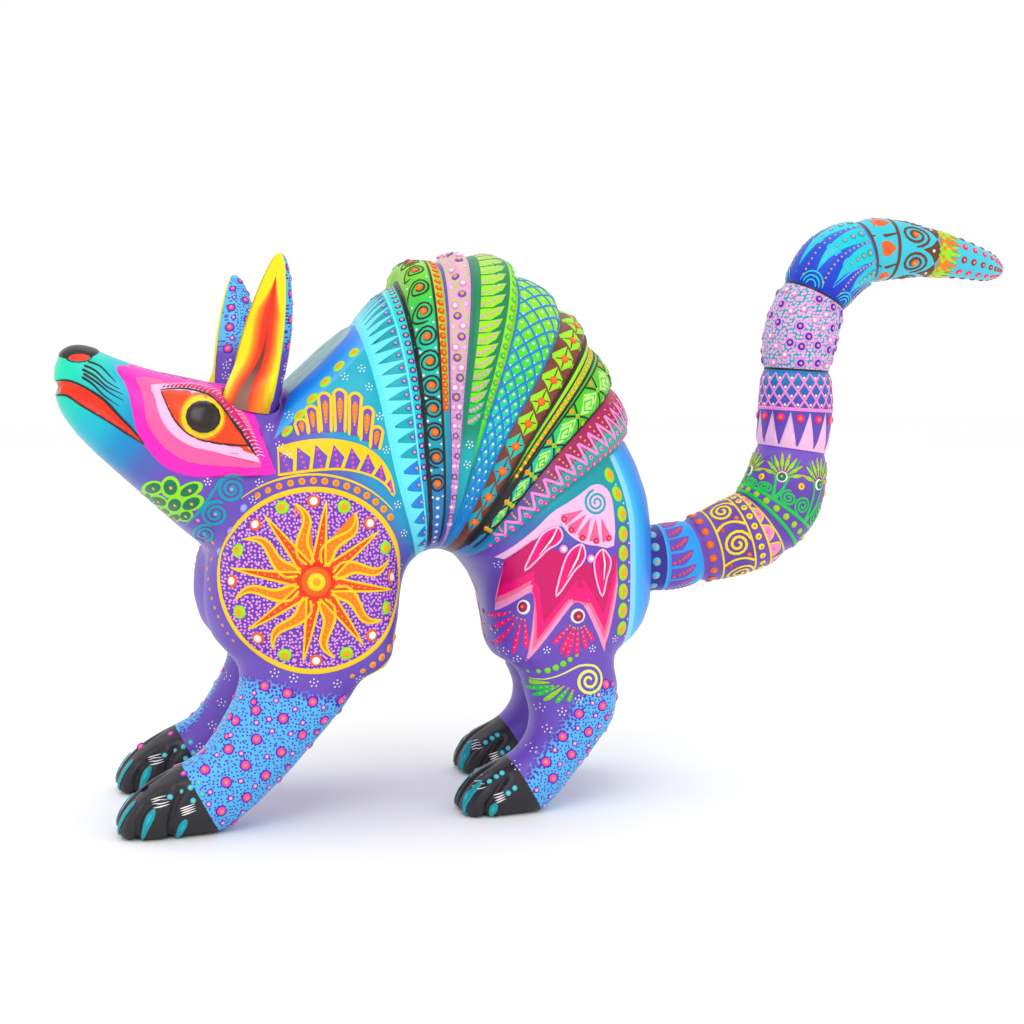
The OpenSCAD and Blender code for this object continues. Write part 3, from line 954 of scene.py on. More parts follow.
def dot(space, at, *coats, stretch=1.0, turn=0.0, level=0, film=False):
    """Domes of paint one on another; coats are pairs of radius and colour; a film starts flat."""
    hit = space.find(*at)
    if hit is None:
        return
    place, normal = hit
    su, sv = space.scale(*at)
    turn = math.radians(turn)
    ahead = space.find(at[0] + 0.3 * su * math.cos(turn), at[1] + 0.3 * sv * math.sin(turn))
    along = (ahead[0] - place) if ahead else Vector((1, 0, 0.01))
    base = LAYER * level - 0.05
    for number, (radius, colour) in enumerate(coats):
        height = 0.16 if film and number == 0 else 0.1 + 0.26 * radius
        dome(space.body, place, normal, along, radius, stretch, height, base, colour)
        base += height * 0.72


def dotted(space, line, radii, *colours, level=0):
    """A row of dots; radii runs from the first dot's radius to the last one's."""
    for k, at in enumerate(line):
        r = radii[0] + (radii[1] - radii[0]) * k / max(1, len(line) - 1)
        dot(space, at, *[(r * share, colour) for share, colour in zip((1.0, 0.55), colours)], level=level)


def along_line(line, count):
    """Evenly spaced places on a line."""
    gaps = [math.dist(a, b) for a, b in zip(line, line[1:])]
    total, out = sum(gaps), []
    for k in range(count):
        left, i = total * k / max(1, count - 1), 0
        while i < len(gaps) - 1 and left > gaps[i]:
            left -= gaps[i]
            i += 1
        share = left / gaps[i] if gaps[i] else 0
        a, b = line[i], line[i + 1]
        out.append((a[0] + (b[0] - a[0]) * share, a[1] + (b[1] - a[1]) * share))
    return out


def blossom(space, at, radius=1.25, petals=5, turn=90.0):
    """A small flower of white dots."""
    shape = [(0.0, 0.0)] + [polar((0, 0), radius, turn + 360 * k / petals) for k in range(petals)]
    for place in placed(space, at, shape):
        dot(space, place, (0.36, "white"), level=1)


# ---------------------------------------------------------------- the sun shield
SUN = (-112.0, 98.0)
SUN_R = 35.3
FIRST_RAY = 81.0


def sun(space):
    fill(space, circle(SUN, SUN_R - 0.4, 72), "sun_ground")
    stroke(space, circle(SUN, SUN_R, 96), 2.1, "gold", closed=True, rise=0.24)
    for k in range(8):
        straight_ray(space, FIRST_RAY + 45 * k)
        wavy_ray(space, FIRST_RAY + 22.5 + 45 * k)
    for k in range(16):
        at = polar(SUN, 30.8, 90 + 22.5 * k)
        if k % 2:
            dot(space, at, (2.7, "lime"), (1.5, "amber"), level=1)
        else:
            dot(space, at, (2.5, "deep_orange"), (1.6, "white"), level=1)
    fill(space, circle(SUN, 7.6, 30), "red", 3)
    dot(space, SUN, (5.9, "deep_orange"), (3.6, "yellow"), (1.7, "amber"), level=4)


def straight_ray(space, turn):
    left = [polar(SUN, 6.5, turn + 27), polar(SUN, 13, turn + 9), polar(SUN, 22, turn + 3),
            polar(SUN, 31.4, turn)]
    right = [polar(SUN, 22, turn - 3), polar(SUN, 13, turn - 9), polar(SUN, 6.5, turn - 27)]
    left = smooth_line(left)
    right = smooth_line([left[-1]] + right)
    fill(space, left + right[1:], "flame_red", 2)
    stroke(space, left, (0.9, 0.9, 0.7), "gold", 3)
    stroke(space, right, (0.7, 0.9, 0.9), "gold", 3)
    for k in range(6):
        dot(space, polar(SUN, 9 + 2.6 * k, turn), (0.6 - 0.05 * k, "peach"), level=3)


def wavy_ray(space, turn):
    """A flame that sways twice between its foot and its tip."""
    middle, left, right = [], [], []
    for k in range(25):
        share = k / 24
        radius = 6.8 + 24 * share
        sway = 9.0 * math.sin(2 * math.pi * (share * 0.98 + 0.02)) * (1 - 0.3 * share)
        half = 3.2 * min(1.0, 0.35 + 3.2 * share) * (1 - share) ** 0.8 + 0.05
        spread = math.degrees(half / radius)
        middle.append(polar(SUN, radius, turn + sway))
        left.append(polar(SUN, radius, turn + sway + spread))
        right.append(polar(SUN, radius, turn + sway - spread))
    fill(space, left + right[-2::-1], "orange", 1)
    stroke(space, left, (1.2, 1.1, 0.8), "gold", 2)
    stroke(space, right, (1.2, 1.1, 0.8), "gold", 2)
    for k in range(4, 17, 2):
        dot(space, middle[k], (0.5, "amber"), level=2)


CRESCENT_TOP = ((-124.5, 149.4), (-115, 152), (-104, 152.6), (-93, 150.2), (-86, 145.6), (-81.4, 138.6),
                (-79.6, 131))
CRESCENT_LOW = ((-80.4, 130), (-84.6, 135.4), (-91.6, 139), (-101, 140.8), (-112, 140.4), (-124.8, 138.6))
# Comb fingers: foot and tip in X and Z.
FINGERS = (
    ((-114.6, 154), (-115.4, 160)), ((-110.6, 154.6), (-111, 165)), ((-106, 155), (-105.6, 170)),
    ((-100.8, 155), (-99.8, 171.4)), ((-95.6, 153.6), (-94, 170)), ((-91.2, 151.4), (-89.6, 164.6)),
    ((-87.6, 148.4), (-86.2, 157)),
)


def comb(space):
    """A gold crescent over the sun, with hanging blades below it and comb fingers above it."""
    top, low = smooth_line(CRESCENT_TOP), smooth_line(CRESCENT_LOW)
    fill(space, top + low, "gold")
    stroke(space, low, 0.9, "gold", 2)
    upper, lower = along_line(top, 9), along_line(low[::-1], 9)
    for k in range(8):

        def inside(across, up, k=k):
            top_x, top_z = (a + (b - a) * across for a, b in zip(upper[k], upper[k + 1]))
            low_x, low_z = (a + (b - a) * across for a, b in zip(lower[k], lower[k + 1]))
            return low_x + (top_x - low_x) * up, low_z + (top_z - low_z) * up

        blade = [inside(0.12, 0.06), inside(0.1, 0.82), inside(0.5, 0.62), inside(0.9, 0.44),
                 inside(0.9, 0.06)]
        fill(space, blade, "purple", 1)
        for at in along_line([inside(0.24, 0.66), inside(0.66, 0.12)], 4):
            dot(space, at, (0.62, "rose_dot"), level=2)
    dotted(space, [polar(SUN, 38.6, 122 - 84 * k / 13) for k in range(14)], (1.35, 1.5), "amber", "orange")
    stroke(space, arc(SUN, 41, 130, 40), (0.4, 0.9, 0.9, 0.9, 0.4), "gold")
    for foot, tip in FINGERS:
        finger(space, foot, tip)


def finger(space, foot, tip):
    length = math.dist(foot, tip)
    ux, uz = (tip[0] - foot[0]) / length, (tip[1] - foot[1]) / length
    width = 2.25
    shape = []
    for k in range(9):
        a = math.pi * k / 8
        shape.append((tip[0] + width * (math.cos(a) * uz + math.sin(a) * ux) - width * ux,
                      tip[1] + width * (-math.cos(a) * ux + math.sin(a) * uz) - width * uz))
    wall = [(foot[0] + width * 0.8 * uz, foot[1] - width * 0.8 * ux)] + shape
    wall.append((foot[0] - width * 0.8 * uz, foot[1] + width * 0.8 * ux))
    fill(space, wall, "violet", 0)
    stroke(space, smooth_line(wall, steps=3), 1.25, "gold", 1)
    core = [(foot[0] + ux * length * s, foot[1] + uz * length * s) for s in (0.25, 0.5, 0.78)]
    stroke(space, smooth_line(core, steps=3), (0.9, 1.9, 2.4), "orange", 1)
    for at in along_line([core[0], core[-1]], max(3, round(length / 2.2))):
        dot(space, at, (0.42, "amber"), level=3)


RIM_OVALS = ((-120.4, 155.4), (-115.4, 161.6), (-110.2, 167.9), (-104.7, 174.4), (-99, 180.5), (-92.6, 185.8))


def shoulder(space):
    sun(space)
    comb(space)
    for at in RIM_OVALS:
        dot(space, at, (1.9, "lime"), (1.1, "amber"), stretch=1.5, turn=45)
    dotted(space, [polar(SUN, 40.8, -69 + 32 * k / 5) for k in range(6)], (1.1, 2.0), "amber", "orange")
    stroke(space, arc(SUN, 44.4, -66, -36), (0.4, 0.9, 0.9, 0.4), "yellow")
    dotted(space, [polar(SUN, 38.6, 160 + 58 * k / 11) for k in range(12)], (0.95, 0.7), "amber", "orange")
    for at in ((-90.7, 179.5), (-97.4, 176.4), (-88.6, 172.4), (-85.2, 161), (-83, 148), (-78.6, 126.6),
               (-75.6, 115),
               (-121, 146.5), (-119, 161.5), (-74.6, 84.6), (-76.4, 101.4)):
        blossom(space, at)


# ---------------------------------------------------------------- the head
MASK = (
    (-183.8, 180.6), (-181.2, 174.8), (-179.4, 169), (-178.2, 161.4), (-177.2, 156), (-174.8, 151.2),
    (-171.6, 146.4), (-167.4, 142.2), (-162, 139.4), (-155, 137.9), (-146, 138), (-135, 138.4),
    (-125.4, 139.2),
    (-128.6, 145), (-129.4, 153), (-131.8, 161), (-134, 168), (-138.6, 173.4), (-146, 176.6), (-156.4, 178),
    (-168.2, 180.6),
)
MASK_ROSE = (
    (-176.6, 176.2), (-174.8, 170.8), (-174, 165.8), (-173.6, 160.6), (-171.6, 155.6), (-168.2, 150.8),
    (-164, 147), (-158.2, 143.8), (-150, 142.5), (-141, 142), (-130.6, 141.4), (-132, 147), (-132.4, 153),
    (-135.4, 161.2), (-140.6, 168.6), (-145.4, 171.4), (-156.6, 173.2), (-168.4, 175.4),
)
MASK_PINK = (
    (-171, 173.2), (-169.6, 168.4), (-169, 163.8), (-167, 158.6), (-163.8, 154.4), (-160, 151.5),
    (-155.2, 149.2),
    (-147, 147.7), (-138, 147), (-131.2, 143.2), (-133, 148), (-137.4, 158), (-143.8, 166.8), (-151, 171.4),
    (-160, 173.2),
)
LID_TOP = ((-167.6, 171.2), (-160, 171.6), (-154, 170.8), (-147.8, 168.2), (-143.2, 162.8), (-139.4, 157.4),
           (-135.8, 151.8), (-132, 145.6))
LID_LOW = ((-167.4, 171), (-165.2, 165), (-162.6, 159.6), (-158.6, 155.2), (-152.6, 152.1), (-144, 150.5),
           (-138, 150), (-135.2, 149.6), (-132, 145.6))
WHISKERS = (
    ((-194.4, 182.4), (-190, 180.6), (-186.6, 177), (-184.2, 174.2)),
    ((-196, 180.9), (-191.8, 178.8), (-187.6, 174.6), (-182.8, 171.6)),
    ((-196.8, 179.4), (-192.2, 176.8), (-187.6, 172.6), (-181.6, 169.6)),
    ((-196.4, 177.8), (-191.8, 174.6), (-186.8, 170.4), (-181.4, 167.2)),
    ((-197, 176.4), (-193.2, 173.8), (-188.8, 169.2), (-183.2, 165)),
)
LIP_TOP = ((-206.6, 174.9), (-202.6, 175.1), (-198.1, 173.6), (-194, 171.3), (-189.6, 168.2), (-186.2, 164.8),
           (-182.8, 160.8), (-178.4, 156), (-174.4, 150.6))
LIP_LOW = ((-206.4, 169.2), (-202.7, 169), (-197.8, 165.6), (-192, 162), (-186.6, 158.6), (-182, 155.4),
           (-178.6, 153.2), (-174.4, 150.4))
# Cheek cells: centre, half length, half width and turn.
CELLS = (
    (-171, 133.2, 2.7, 2.0, 15), (-164.8, 133.8, 2.4, 3.0, 0), (-157.8, 132.8, 3.6, 1.9, 25),
    (-168.8, 127.6, 2.8, 1.8, -30), (-157, 127.4, 3.4, 2.1, 25), (-163, 126.6, 2.2, 2.6, -20),
    (-158.8, 122.2, 1.9, 1.8, 30), (-162.6, 120.8, 2.0, 1.5, 30), (-173.2, 129.4, 1.8, 1.3, -40),
    (-166.4, 123.4, 2.2, 1.2, -35),
)
CHEEK_SPIRALS = (((-141.8, 133), 5.2, 40), ((-147.8, 123.2), 4.9, 60), ((-151.2, 114.6), 4.0, 60))


def head(space):
    fill(space, smooth_line(MASK, True, 2), "magenta")
    fill(space, smooth_line(MASK_ROSE, True, 2), "rose", 1)
    fill(space, smooth_line(MASK_PINK, True, 2), "pale_pink", 2)
    eye(space)
    for line in WHISKERS:
        stroke(space, smooth_line(line), (1.15, 0.75, 0.25), "black", 0)
    fill(space, smooth_line(LIP_TOP) + smooth_line(LIP_LOW[::-1]), "red")
    stroke(space, smooth_line(LIP_TOP), (0.5, 0.9, 1.0, 1.5, 1.1, 0.3), "black", 1)
    stroke(space, smooth_line(LIP_LOW), (0.9, 0.7, 0.7, 0.9, 0.3), "black", 1)
    fill(space, circle((-197.7, 183.8), 1.5, 24, 2.7, 2), "red", 1)
    stroke(space, circle((-197.7, 183.8), 1.8, 28, 2.6, 2), 0.5, "black", 1, True)
    cheek(space)


def eye(space):
    fill(space, smooth_line(EYE, True, 2), "red_orange", 3)
    fill(space, circle(EYE_CENTRE, 8.8, 32), "orange", 4)
    fill(space, circle(EYE_CENTRE, 7.9, 32), "yellow", 5)
    dot(space, EYE_CENTRE, (6.7, "pupil"), level=6)
    lid = smooth_line(LID_TOP)
    stroke(space, lid, (0.4, 0.7, 0.9, 1.6, 2.0, 1.4, 0.4), "black", 5)
    stroke(space, smooth_line(LID_LOW), (0.4, 0.6, 0.6, 0.7, 0.3), "black", 5)
    band = [(x + 0.9, z + 1.2) for x, z in lid]
    stroke(space, band, (0.3, 2.2, 3.0, 3.4, 3.4, 2.6, 0.3), "crimson", 4)
    for k, (x, z) in enumerate(along_line(lid, 31)):
        share = k / 30
        reach = 3.2 + 2.2 * math.sin(math.pi * share)
        turn = math.radians(32 - 34 * share)
        tip = (x + reach * math.cos(turn), z + reach * math.sin(turn))
        bend = ((x + tip[0]) / 2 - 0.3, (z + tip[1]) / 2 + 0.7)
        stroke(space, smooth_line([(x, z), bend, tip], steps=3), (0.6, 0.5, 0.15), "pale_pink", 5)


def cheek(space):
    for x, z, length, width, turn in CELLS:
        fill(space, circle((x, z), width * 1.5, 20, length / width, turn), "lime")
        fill(space, circle((x, z), width * 1.05, 16, length / width, turn + 8), "dark_green", 1)
        dot(space, (x + 0.2, z - 0.2), (0.75, "peach"), (0.35, "yellow"), level=2)
    line = smooth_line(((-145.6, 138), (-149.8, 130.6), (-154.6, 123.2), (-159, 117.6)))
    stroke(space, line, (0.6, 1.5, 1.4, 0.5), "lagoon")
    for centre, radius, start in CHEEK_SPIRALS:
        stroke(space, spiral(centre, radius * 1.08, 2.3, start), (1.5, 1.3, 0.9), "lagoon")
        dot(space, centre, (1.0, "sky"), (0.5, "peach"), level=1)
    for at in ((-137.6, 125.8), (-142.6, 116.6), (-146.4, 108.6)):
        dot(space, at, (1.75, "sky"), (1.0, "pink"))
    dot(space, (-154.2, 120.4), (0.9, "pink"), (0.5, "peach"))
    for at in ((-151, 136), (-131.6, 135.6), (-134.2, 129), (-138.4, 120.6), (-141.6, 112), (-127.6, 163),
               (-126.4, 156.6), (-123.6, 150)):
        blossom(space, at)


# ---------------------------------------------------------------- the shell bands
def by_way(around, *steps):
    """The paint for a way around; steps are pairs of limit and paint."""
    return next(colour for limit, colour in steps if around < limit)


def band_teeth(space):
    for around in np.arange(3.4, 152, 6.8):
        tooth = [(0.14, around), (0.45, around - 1.9), (0.71, around - 3.1), (0.71, around + 3.1),
                 (0.45, around + 1.9)]
        fill(space, tooth, by_way(around, (52, "turquoise"), (112, "teal"), (200, "sky_deep")))
        dot(space, (0.63, around), (1.15, "blue"), (0.62, "peach"), level=1)
    for around in np.arange(2.5, 118, 4.6):
        dot(space, (0.87, around), (1.35, "royal"), (0.7, "amber"), film=True)
    stroke(space, [(0.74, a) for a in range(0, 152, 2)], 0.8, "pale_cyan")
    stroke(space, [(0.985, a) for a in range(0, 150, 2)], 1.3, "black", 0)


def band_spirals(space):
    for around in [0.0, 10.0] + [20 + 11.2 * k for k in range(10)]:
        hand = 1 if space.side < 0 else -1
        turn = 30 + 50 * (around / 11 % 3)
        radius = 4.7 if around < 90 else 4.0
        curl = placed(space, (0.37, around), spiral((0, 0), radius, 2.4, turn, hand))
        stroke(space, curl, (0.95, 0.8, 0.7), "black")
        dot(space, (0.37, around), (1.6, "deep_orange"), (0.9, "orange"), level=1)
        if around > 10:
            dot(space, (0.13, around + 5.6), (0.6, "white"))
            dot(space, (0.6, around + 5.6), (0.45, "white"))
    for around in np.arange(127, 152, 4.0):
        dot(space, (0.36, around), (0.75, "white"))
    stroke(space, [(0.7, a) for a in range(0, 156, 2)], 1.0, "black")
    stroke(space, [(0.05, a) for a in range(0, 156, 2)], 1.6, "black")
    for around in np.arange(2, 88, 3.7):
        dot(space, (0.85, around), (1.5, "red_orange"), (0.7, "amber"))


def band_stipple(space):
    for k, around in enumerate(np.arange(4, 146, 4.6)):
        size = 1.0 if around < 90 else 0.75
        if k % 2:
            dot(space, (0.42 if k % 4 == 1 else 0.6, around), (1.7 * size, "purple"), (0.9 * size, "amber"),
                level=1)
        else:
            dot(space, (0.34 if k % 4 == 0 else 0.64, around), (1.6 * size, "pink"), (0.95 * size, "white"),
                level=1)
            dot(space, (0.74 if k % 4 == 0 else 0.24, around), (0.95 * size, "pale_pink"), level=1)


def band_flags(space):
    for around in np.arange(2.6, 94, 5.3):
        paint = by_way(around, (68, "lime"), (84, "leaf"), (200, "green"))
        flag = [(0.17, around - 2.3), (0.42, around - 2.6), (0.68, around - 4.6), (0.6, around - 0.6),
                (0.42, around + 2.1), (0.17, around + 2.3)]
        fill(space, flag, paint)
        for u, v in ((0.23, 0.9), (0.34, 0.2), (0.45, -0.9), (0.56, -2.5)):
            dot(space, (u, around + v), (0.68, "pink"), level=1)
    for at in ((0.4, 104), (0.46, 113)):
        blossom(space, at)
    for k, around in enumerate(np.arange(2, 92, 4.2)):
        dot(space, (0.87, around), (1.35, "green"), (0.7, "amber" if k % 2 else "lime"))


def band_lattice(space):
    pitch, reach, rows = 8.4, 21.0, 5
    step = 0.92 / rows
    for start in np.arange(-reach, 134, pitch):
        for a, b in ((start, start + reach), (start + reach, start)):
            line = [(0.04 + 0.92 * s, a + (b - a) * s) for s in np.linspace(0, 1, 18)]
            line = [p for p in line if 0 <= p[1] < 142]
            if len(line) > 2:
                stroke(space, line, 0.95, "blue_line")
    for around in np.arange(1, 134, pitch / 2):
        for row in range(rows):
            dot(space, (0.04 + step * (row + 0.5), around), (0.55, "white"))
    for edge in (0.03, 0.97):
        stroke(space, [(edge, a) for a in range(0, 152, 2)], 1.0, "blue_line")


def band_leaves(space):
    for around in [0.0] + [13 + 12.3 * k for k in range(11)]:
        paint = by_way(around, (88, "lime"), (104, "sea"), (200, "teal"))
        leaf = [(0.4, around - 6.6), (0.62, around - 4), (0.9, around - 1.8), (0.97, around + 0.8),
                (0.8, around + 3),
                (0.6, around + 6.6), (0.38, around + 4), (0.1, around + 1.8), (0.03, around - 0.8),
                (0.2, around - 3)]
        fill(space, leaf, paint)
        for line in ([(0.44, around - 6), (0.5, around), (0.56, around + 6)],
                     [(0.2, around + 1.6), (0.42, around + 0.4), (0.5, around - 3)],
                     [(0.8, around - 1.6), (0.58, around - 0.4), (0.5, around + 3)]):
            stroke(space, smooth_line(line, steps=3), 0.6, "brown")
        dot(space, (0.52, around + 0.3), (1.75, "deep_orange"), (0.95, "orange"), level=1)


def band_squares(space):
    for edge, width in ((0.03, 1.3), (0.15, 0.7), (0.33, 1.1), (0.42, 0.8), (0.985, 1.0)):
        stroke(space, [(edge, a) for a in range(0, 152, 2)], width, "black")
    for around in np.arange(2, 112, 3.4):
        dot(space, (0.24, around), (1.0, "orange"), (0.55, "yellow"))
    centres = (3, 22, 41, 61, 81, 99, 115, 129)
    for k, around in enumerate(centres):
        half = 8.6 if around < 90 else 6.4
        square = [(0.5, around - 1.8), (0.71, around - half), (0.95, around + 1.4), (0.74, around + half)]
        fill(space, square, "pale_green")
        shape = [(0.53, around - 0.4), (0.71, around - half * 0.72), (0.89, around + 1.2),
                 (0.74, around + half * 0.6),
                 (0.62, around + 1.2), (0.71, around - half * 0.3), (0.8, around + 0.6),
                 (0.73, around + half * 0.2)]
        stroke(space, shape, 0.75, "green")
        gap = (centres[min(k + 1, len(centres) - 1)] - around) / 2 or 7
        middle = around + gap
        for line in ([(0.43, middle + 4.5), (0.7, middle), (0.97, middle - 4)],
                     [(0.43, middle - 4.5), (0.7, middle), (0.97, middle + 5)]):
            stroke(space, smooth_line(line, steps=4), 0.85, "black")
        for u, v, paint in ((0.5, 0.0, "amber"), (0.93, 0.5, "lime"), (0.7, 0.0, "leaf")):
            dot(space, (u, middle + v), (1.15, paint), (0.6, "orange"), level=1)


def band_zigzag(space):
    step = 3.9
    line = []
    for k, around in enumerate(np.arange(0, 138, step)):
        line.append((0.16 if k % 2 else 0.76, around))
        if k % 2:
            dot(space, (0.68, around), (1.0, "pink"), (0.5, "hot_pink"))
            stroke(space, [(0.34, around), (0.56, around)], (0.3, 0.9, 1.6), "sea")
        else:
            for u in (0.12, 0.26, 0.4):
                dot(space, (u, around), (0.5, "amber"))
    stroke(space, along_line(line, 7 * len(line)), 1.25, "pink", 1)
    for around in np.arange(3, 142, 4.2):
        dot(space, (0.86, around), (1.1, "hot_pink"), (0.6, "pink"))


BAND_DESIGNS = (
    band_teeth, band_spirals, band_stipple, band_flags, band_lattice, band_leaves, band_squares, band_zigzag,
)

# ---------------------------------------------------------------- the haunch
LOTUS = ((-18, 121), (-11, 125.4), (-4.9, 129), (0, 132.4), (4, 133), (7.6, 131), (9.6, 127), (10.4, 120),
         (9.8, 108.2), (3, 108.2), (-2, 109.8), (-7.4, 112.8), (-12.4, 117))
LOTUS_ARM = ((-18, 121), (-24, 115), (-31, 108.8), (-37, 103.6), (-33.6, 103), (-24.4, 111), (-12.4, 117))
FLAME_TOP = ((-33.4, 102.6), (-24.2, 111.2), (-26.4, 98.8), (-13.8, 106), (-15, 88.4), (-4.2, 100.4),
             (4.2, 87.6),
             (8.4, 98.4), (10.8, 104))
FLAME_LOW = ((11.6, 91.6), (6.8, 64.6), (-5.5, 90), (-26.6, 61.8), (-21.6, 93.4), (-35.2, 81))
FLAME_CORE = ((9.4, 101), (4.4, 86.6), (-4.6, 101), (-17.6, 84), (-22, 103.4), (-33.8, 94))
LEAVES = (
    ((-14.4, 116.4), (-12.4, 112.8), (-14.6, 109.6), (-18.9, 107), (-26.4, 98.8), (-23.4, 108), (-20, 114.2)),
    ((-4.6, 109.4), (-3, 105.2), (-4.6, 101.6), (-8, 98.4), (-15, 88.6), (-12.6, 100), (-9.6, 106.6)),
    ((4.4, 107), (7.8, 103), (7.6, 99), (6.2, 95.4), (4.2, 88), (1.4, 95.6), (0.8, 103)),
)
PINK_FANS = (
    ((-26.9, 84), ((210, 13.4), (228, 17), (242, 20), (257, 19.4), (271, 16.4))),
    ((-6.1, 80.5), ((228, 15), (246, 16.8), (256, 17.4), (270, 16), (287, 14.4), (303, 12.6))),
)
REAR_OVALS = ((9.2, 136.4), (12.4, 128.8), (14.2, 120.6), (14.4, 112.6), (14.3, 104.8), (14.2, 97),
              (14.2, 89.2),
              (14.2, 81.4), (14.4, 73.8))
SNAIL = (-0.8, 53.8)


def haunch(space):
    fill(space, smooth_line(LOTUS, True, 2), "pale_pink")
    fill(space, LOTUS_ARM, "pale_pink")
    disc = (2.4, 125.8)
    for turn, reach in ((205, 16), (224, 15.6), (244, 15.4), (265, 15.8), (286, 16.2)):
        wedge = [polar(disc, 6.4, turn), polar(disc, reach, turn + 8.6), polar(disc, reach, turn - 8.6)]
        fill(space, wedge, "rose_petal", 1)
    stroke(space, spiral(disc, 5.2, 2.4, 100), (1.1, 1.0, 0.8), "teal", 1)
    edge = [polar(disc, 16.8, 196 + 100 * k / 14) for k in range(15)]
    stroke(space, edge, 1.0, "pale_pink", 1)
    for turn in (204, 224, 245, 268, 289):
        dot(space, polar(disc, 15.4, turn), (1.4, "crimson"), (0.6, "orange"), level=1)
    flame(space)
    for leaf in LEAVES:
        fill(space, smooth_line(leaf, True, 2), "hot_pink", 4)
        stroke(space, smooth_line(leaf, True, 3), 0.75, "pale_pink", 5, True)
        heart = [(leaf[0][k] + leaf[3][k]) / 2 for k in (0, 1)]
        core = [(x + (heart[0] - x) * 0.52, z + (heart[1] - z) * 0.52) for x, z in leaf]
        fill(space, smooth_line(core, True, 2), "crimson", 5)
        stroke(space, [leaf[0], heart, [(heart[k] + leaf[4][k]) / 2 for k in (0, 1)]], (0.4, 0.8, 0.2),
               "white", 6)
    for at in ((-12, 107.6), (-0.6, 103.4)):
        dot(space, at, (1.8, "pink"), (1.0, "white"), level=4)
    for centre, strokes in PINK_FANS:
        dot(space, centre, (3.1, "white"), (2.2, "maroon"), (0.8, "orange"))
        for turn, reach in strokes:
            line = [polar(centre, 5.0 + (reach - 5.0) * s, turn) for s in (0, 0.35, 0.7, 1)]
            stroke(space, smooth_line(line, steps=3), (0.5, 1.5, 2.4, 1.6), "hot_pink")
            for at in along_line(line, 6)[:-1]:
                dot(space, at, (0.42, "amber"), level=2)
    for x, z in REAR_OVALS:
        dot(space, (x, z), (2.5, "lime"), (1.5, "amber"), stretch=1.35, turn=90 if z < 125 else 112)
        dot(space, (x + 2.9, z - 3.9), (0.45, "white"))
    for at in ((-35.2, 100.4), (-33.6, 65.6), (-29.6, 63), (-18.6, 67), (0.8, 66.6), (11.6, 69.6), (-36, 73)):
        blossom(space, at)


def flame(space):
    """The zigzag flame: coats from pale pink below to crimson above."""
    for level, (share, colour) in enumerate(((0, "petal"), (0.24, "salmon"), (0.42, "hot_pink"),
                                             (0.74, "crimson"))):
        low = [(a[0] + (b[0] - a[0]) * share, a[1] + (b[1] - a[1]) * share) for a,
               b in zip(FLAME_LOW, FLAME_CORE)]
        fill(space, list(FLAME_TOP) + low, colour, level)


def hind_thigh(space):
    line = [(-24.4, 54.4), (-18, 54.6), (-11, 57.2), (-5, 60)] + spiral(SNAIL, 6.2, 2.2, 78, -1)
    stroke(space, smooth_line(line, steps=2), (0.3, 1.0, 1.4, 1.2, 1.0), "pale_yellow")
    for k, (end, start) in enumerate((
        ((-24.4, 52.6), (-17, 53.2)), ((-23.4, 49.8), (-15.4, 52)), ((-21.6, 47.2), (-13.4, 52)),
        ((-18.4, 45.6), (-11.4, 51.8)), ((-14.2, 45), (-9.6, 51)), ((-9.6, 45.4), (-7.8, 50)),
    )):
        middle = ((start[0] + end[0]) / 2, (start[1] + end[1]) / 2)
        stroke(space, smooth_line([start, middle, end], steps=4), (0.5, 1.4, 2.2, 1.3),
               "green" if k % 3 else "leaf")
        for at in along_line([start, end], 5)[:-1]:
            dot(space, at, (0.45, "amber"), level=2)
    for k, at in enumerate(along_line(smooth_line(((-24, 57.2), (-17, 58.4), (-11.4, 61.2), (-6, 64.4))), 7)):
        dot(space, at, (0.6 + 0.8 * math.sin(math.pi * (k + 0.5) / 7), "leaf"))


def paint_figure():
    for side in SIDES:
        shoulder(Flank(side, (-100, 120)))
        head(Flank(side, (-160, 150)))
        haunch(Flank(side, (0, 100)))
        hind_thigh(Flank(side, (-8, 50)))
        for number, design in enumerate(BAND_DESIGNS):
            design(Band(number, side))


paint_figure()


# ---------------------------------------------------------------- legs and paws
class Front(Flank):
    """The front of a paw as seen from ahead: places are Y and Z."""

    def __init__(self, tip):
        self.tip = tip

    def find(self, y, z):
        hit, normal, _, _ = SKIN.ray_cast(Vector((self.tip - 12, y, z)) * MM, Vector((1, 0, 0)))
        return (hit / MM, normal) if hit else None


class Inner(Flank):
    """The inner side of the legs: places are X and Z."""

    def find(self, x, z):
        hit, normal, _, _ = SKIN.ray_cast(Vector((x, self.side * 4, z)) * MM, Vector((0, self.side, 0)))
        return (hit / MM, normal) if hit and abs(hit.y) > 12 * MM else None


class Limb:
    """A leg seen all round: places are the height and the degrees round, 0 ahead and 90 outwards."""

    body = "figure"

    def __init__(self, side, lean):
        self.side, self.lean = side, lean

    def find(self, height, around):
        (x0, z0), (x1, z1) = self.lean
        start = Vector((x0 + (x1 - x0) * (height - z0) / (z1 - z0), self.side * 37.0, height))
        way = math.radians(around)
        hit, normal, _, _ = SKIN.ray_cast(start * MM, Vector((-math.cos(way), self.side * math.sin(way), 0)))
        return (hit / MM, normal) if hit else None

    def scale(self, _height, _around):
        return 1.0, 4.0


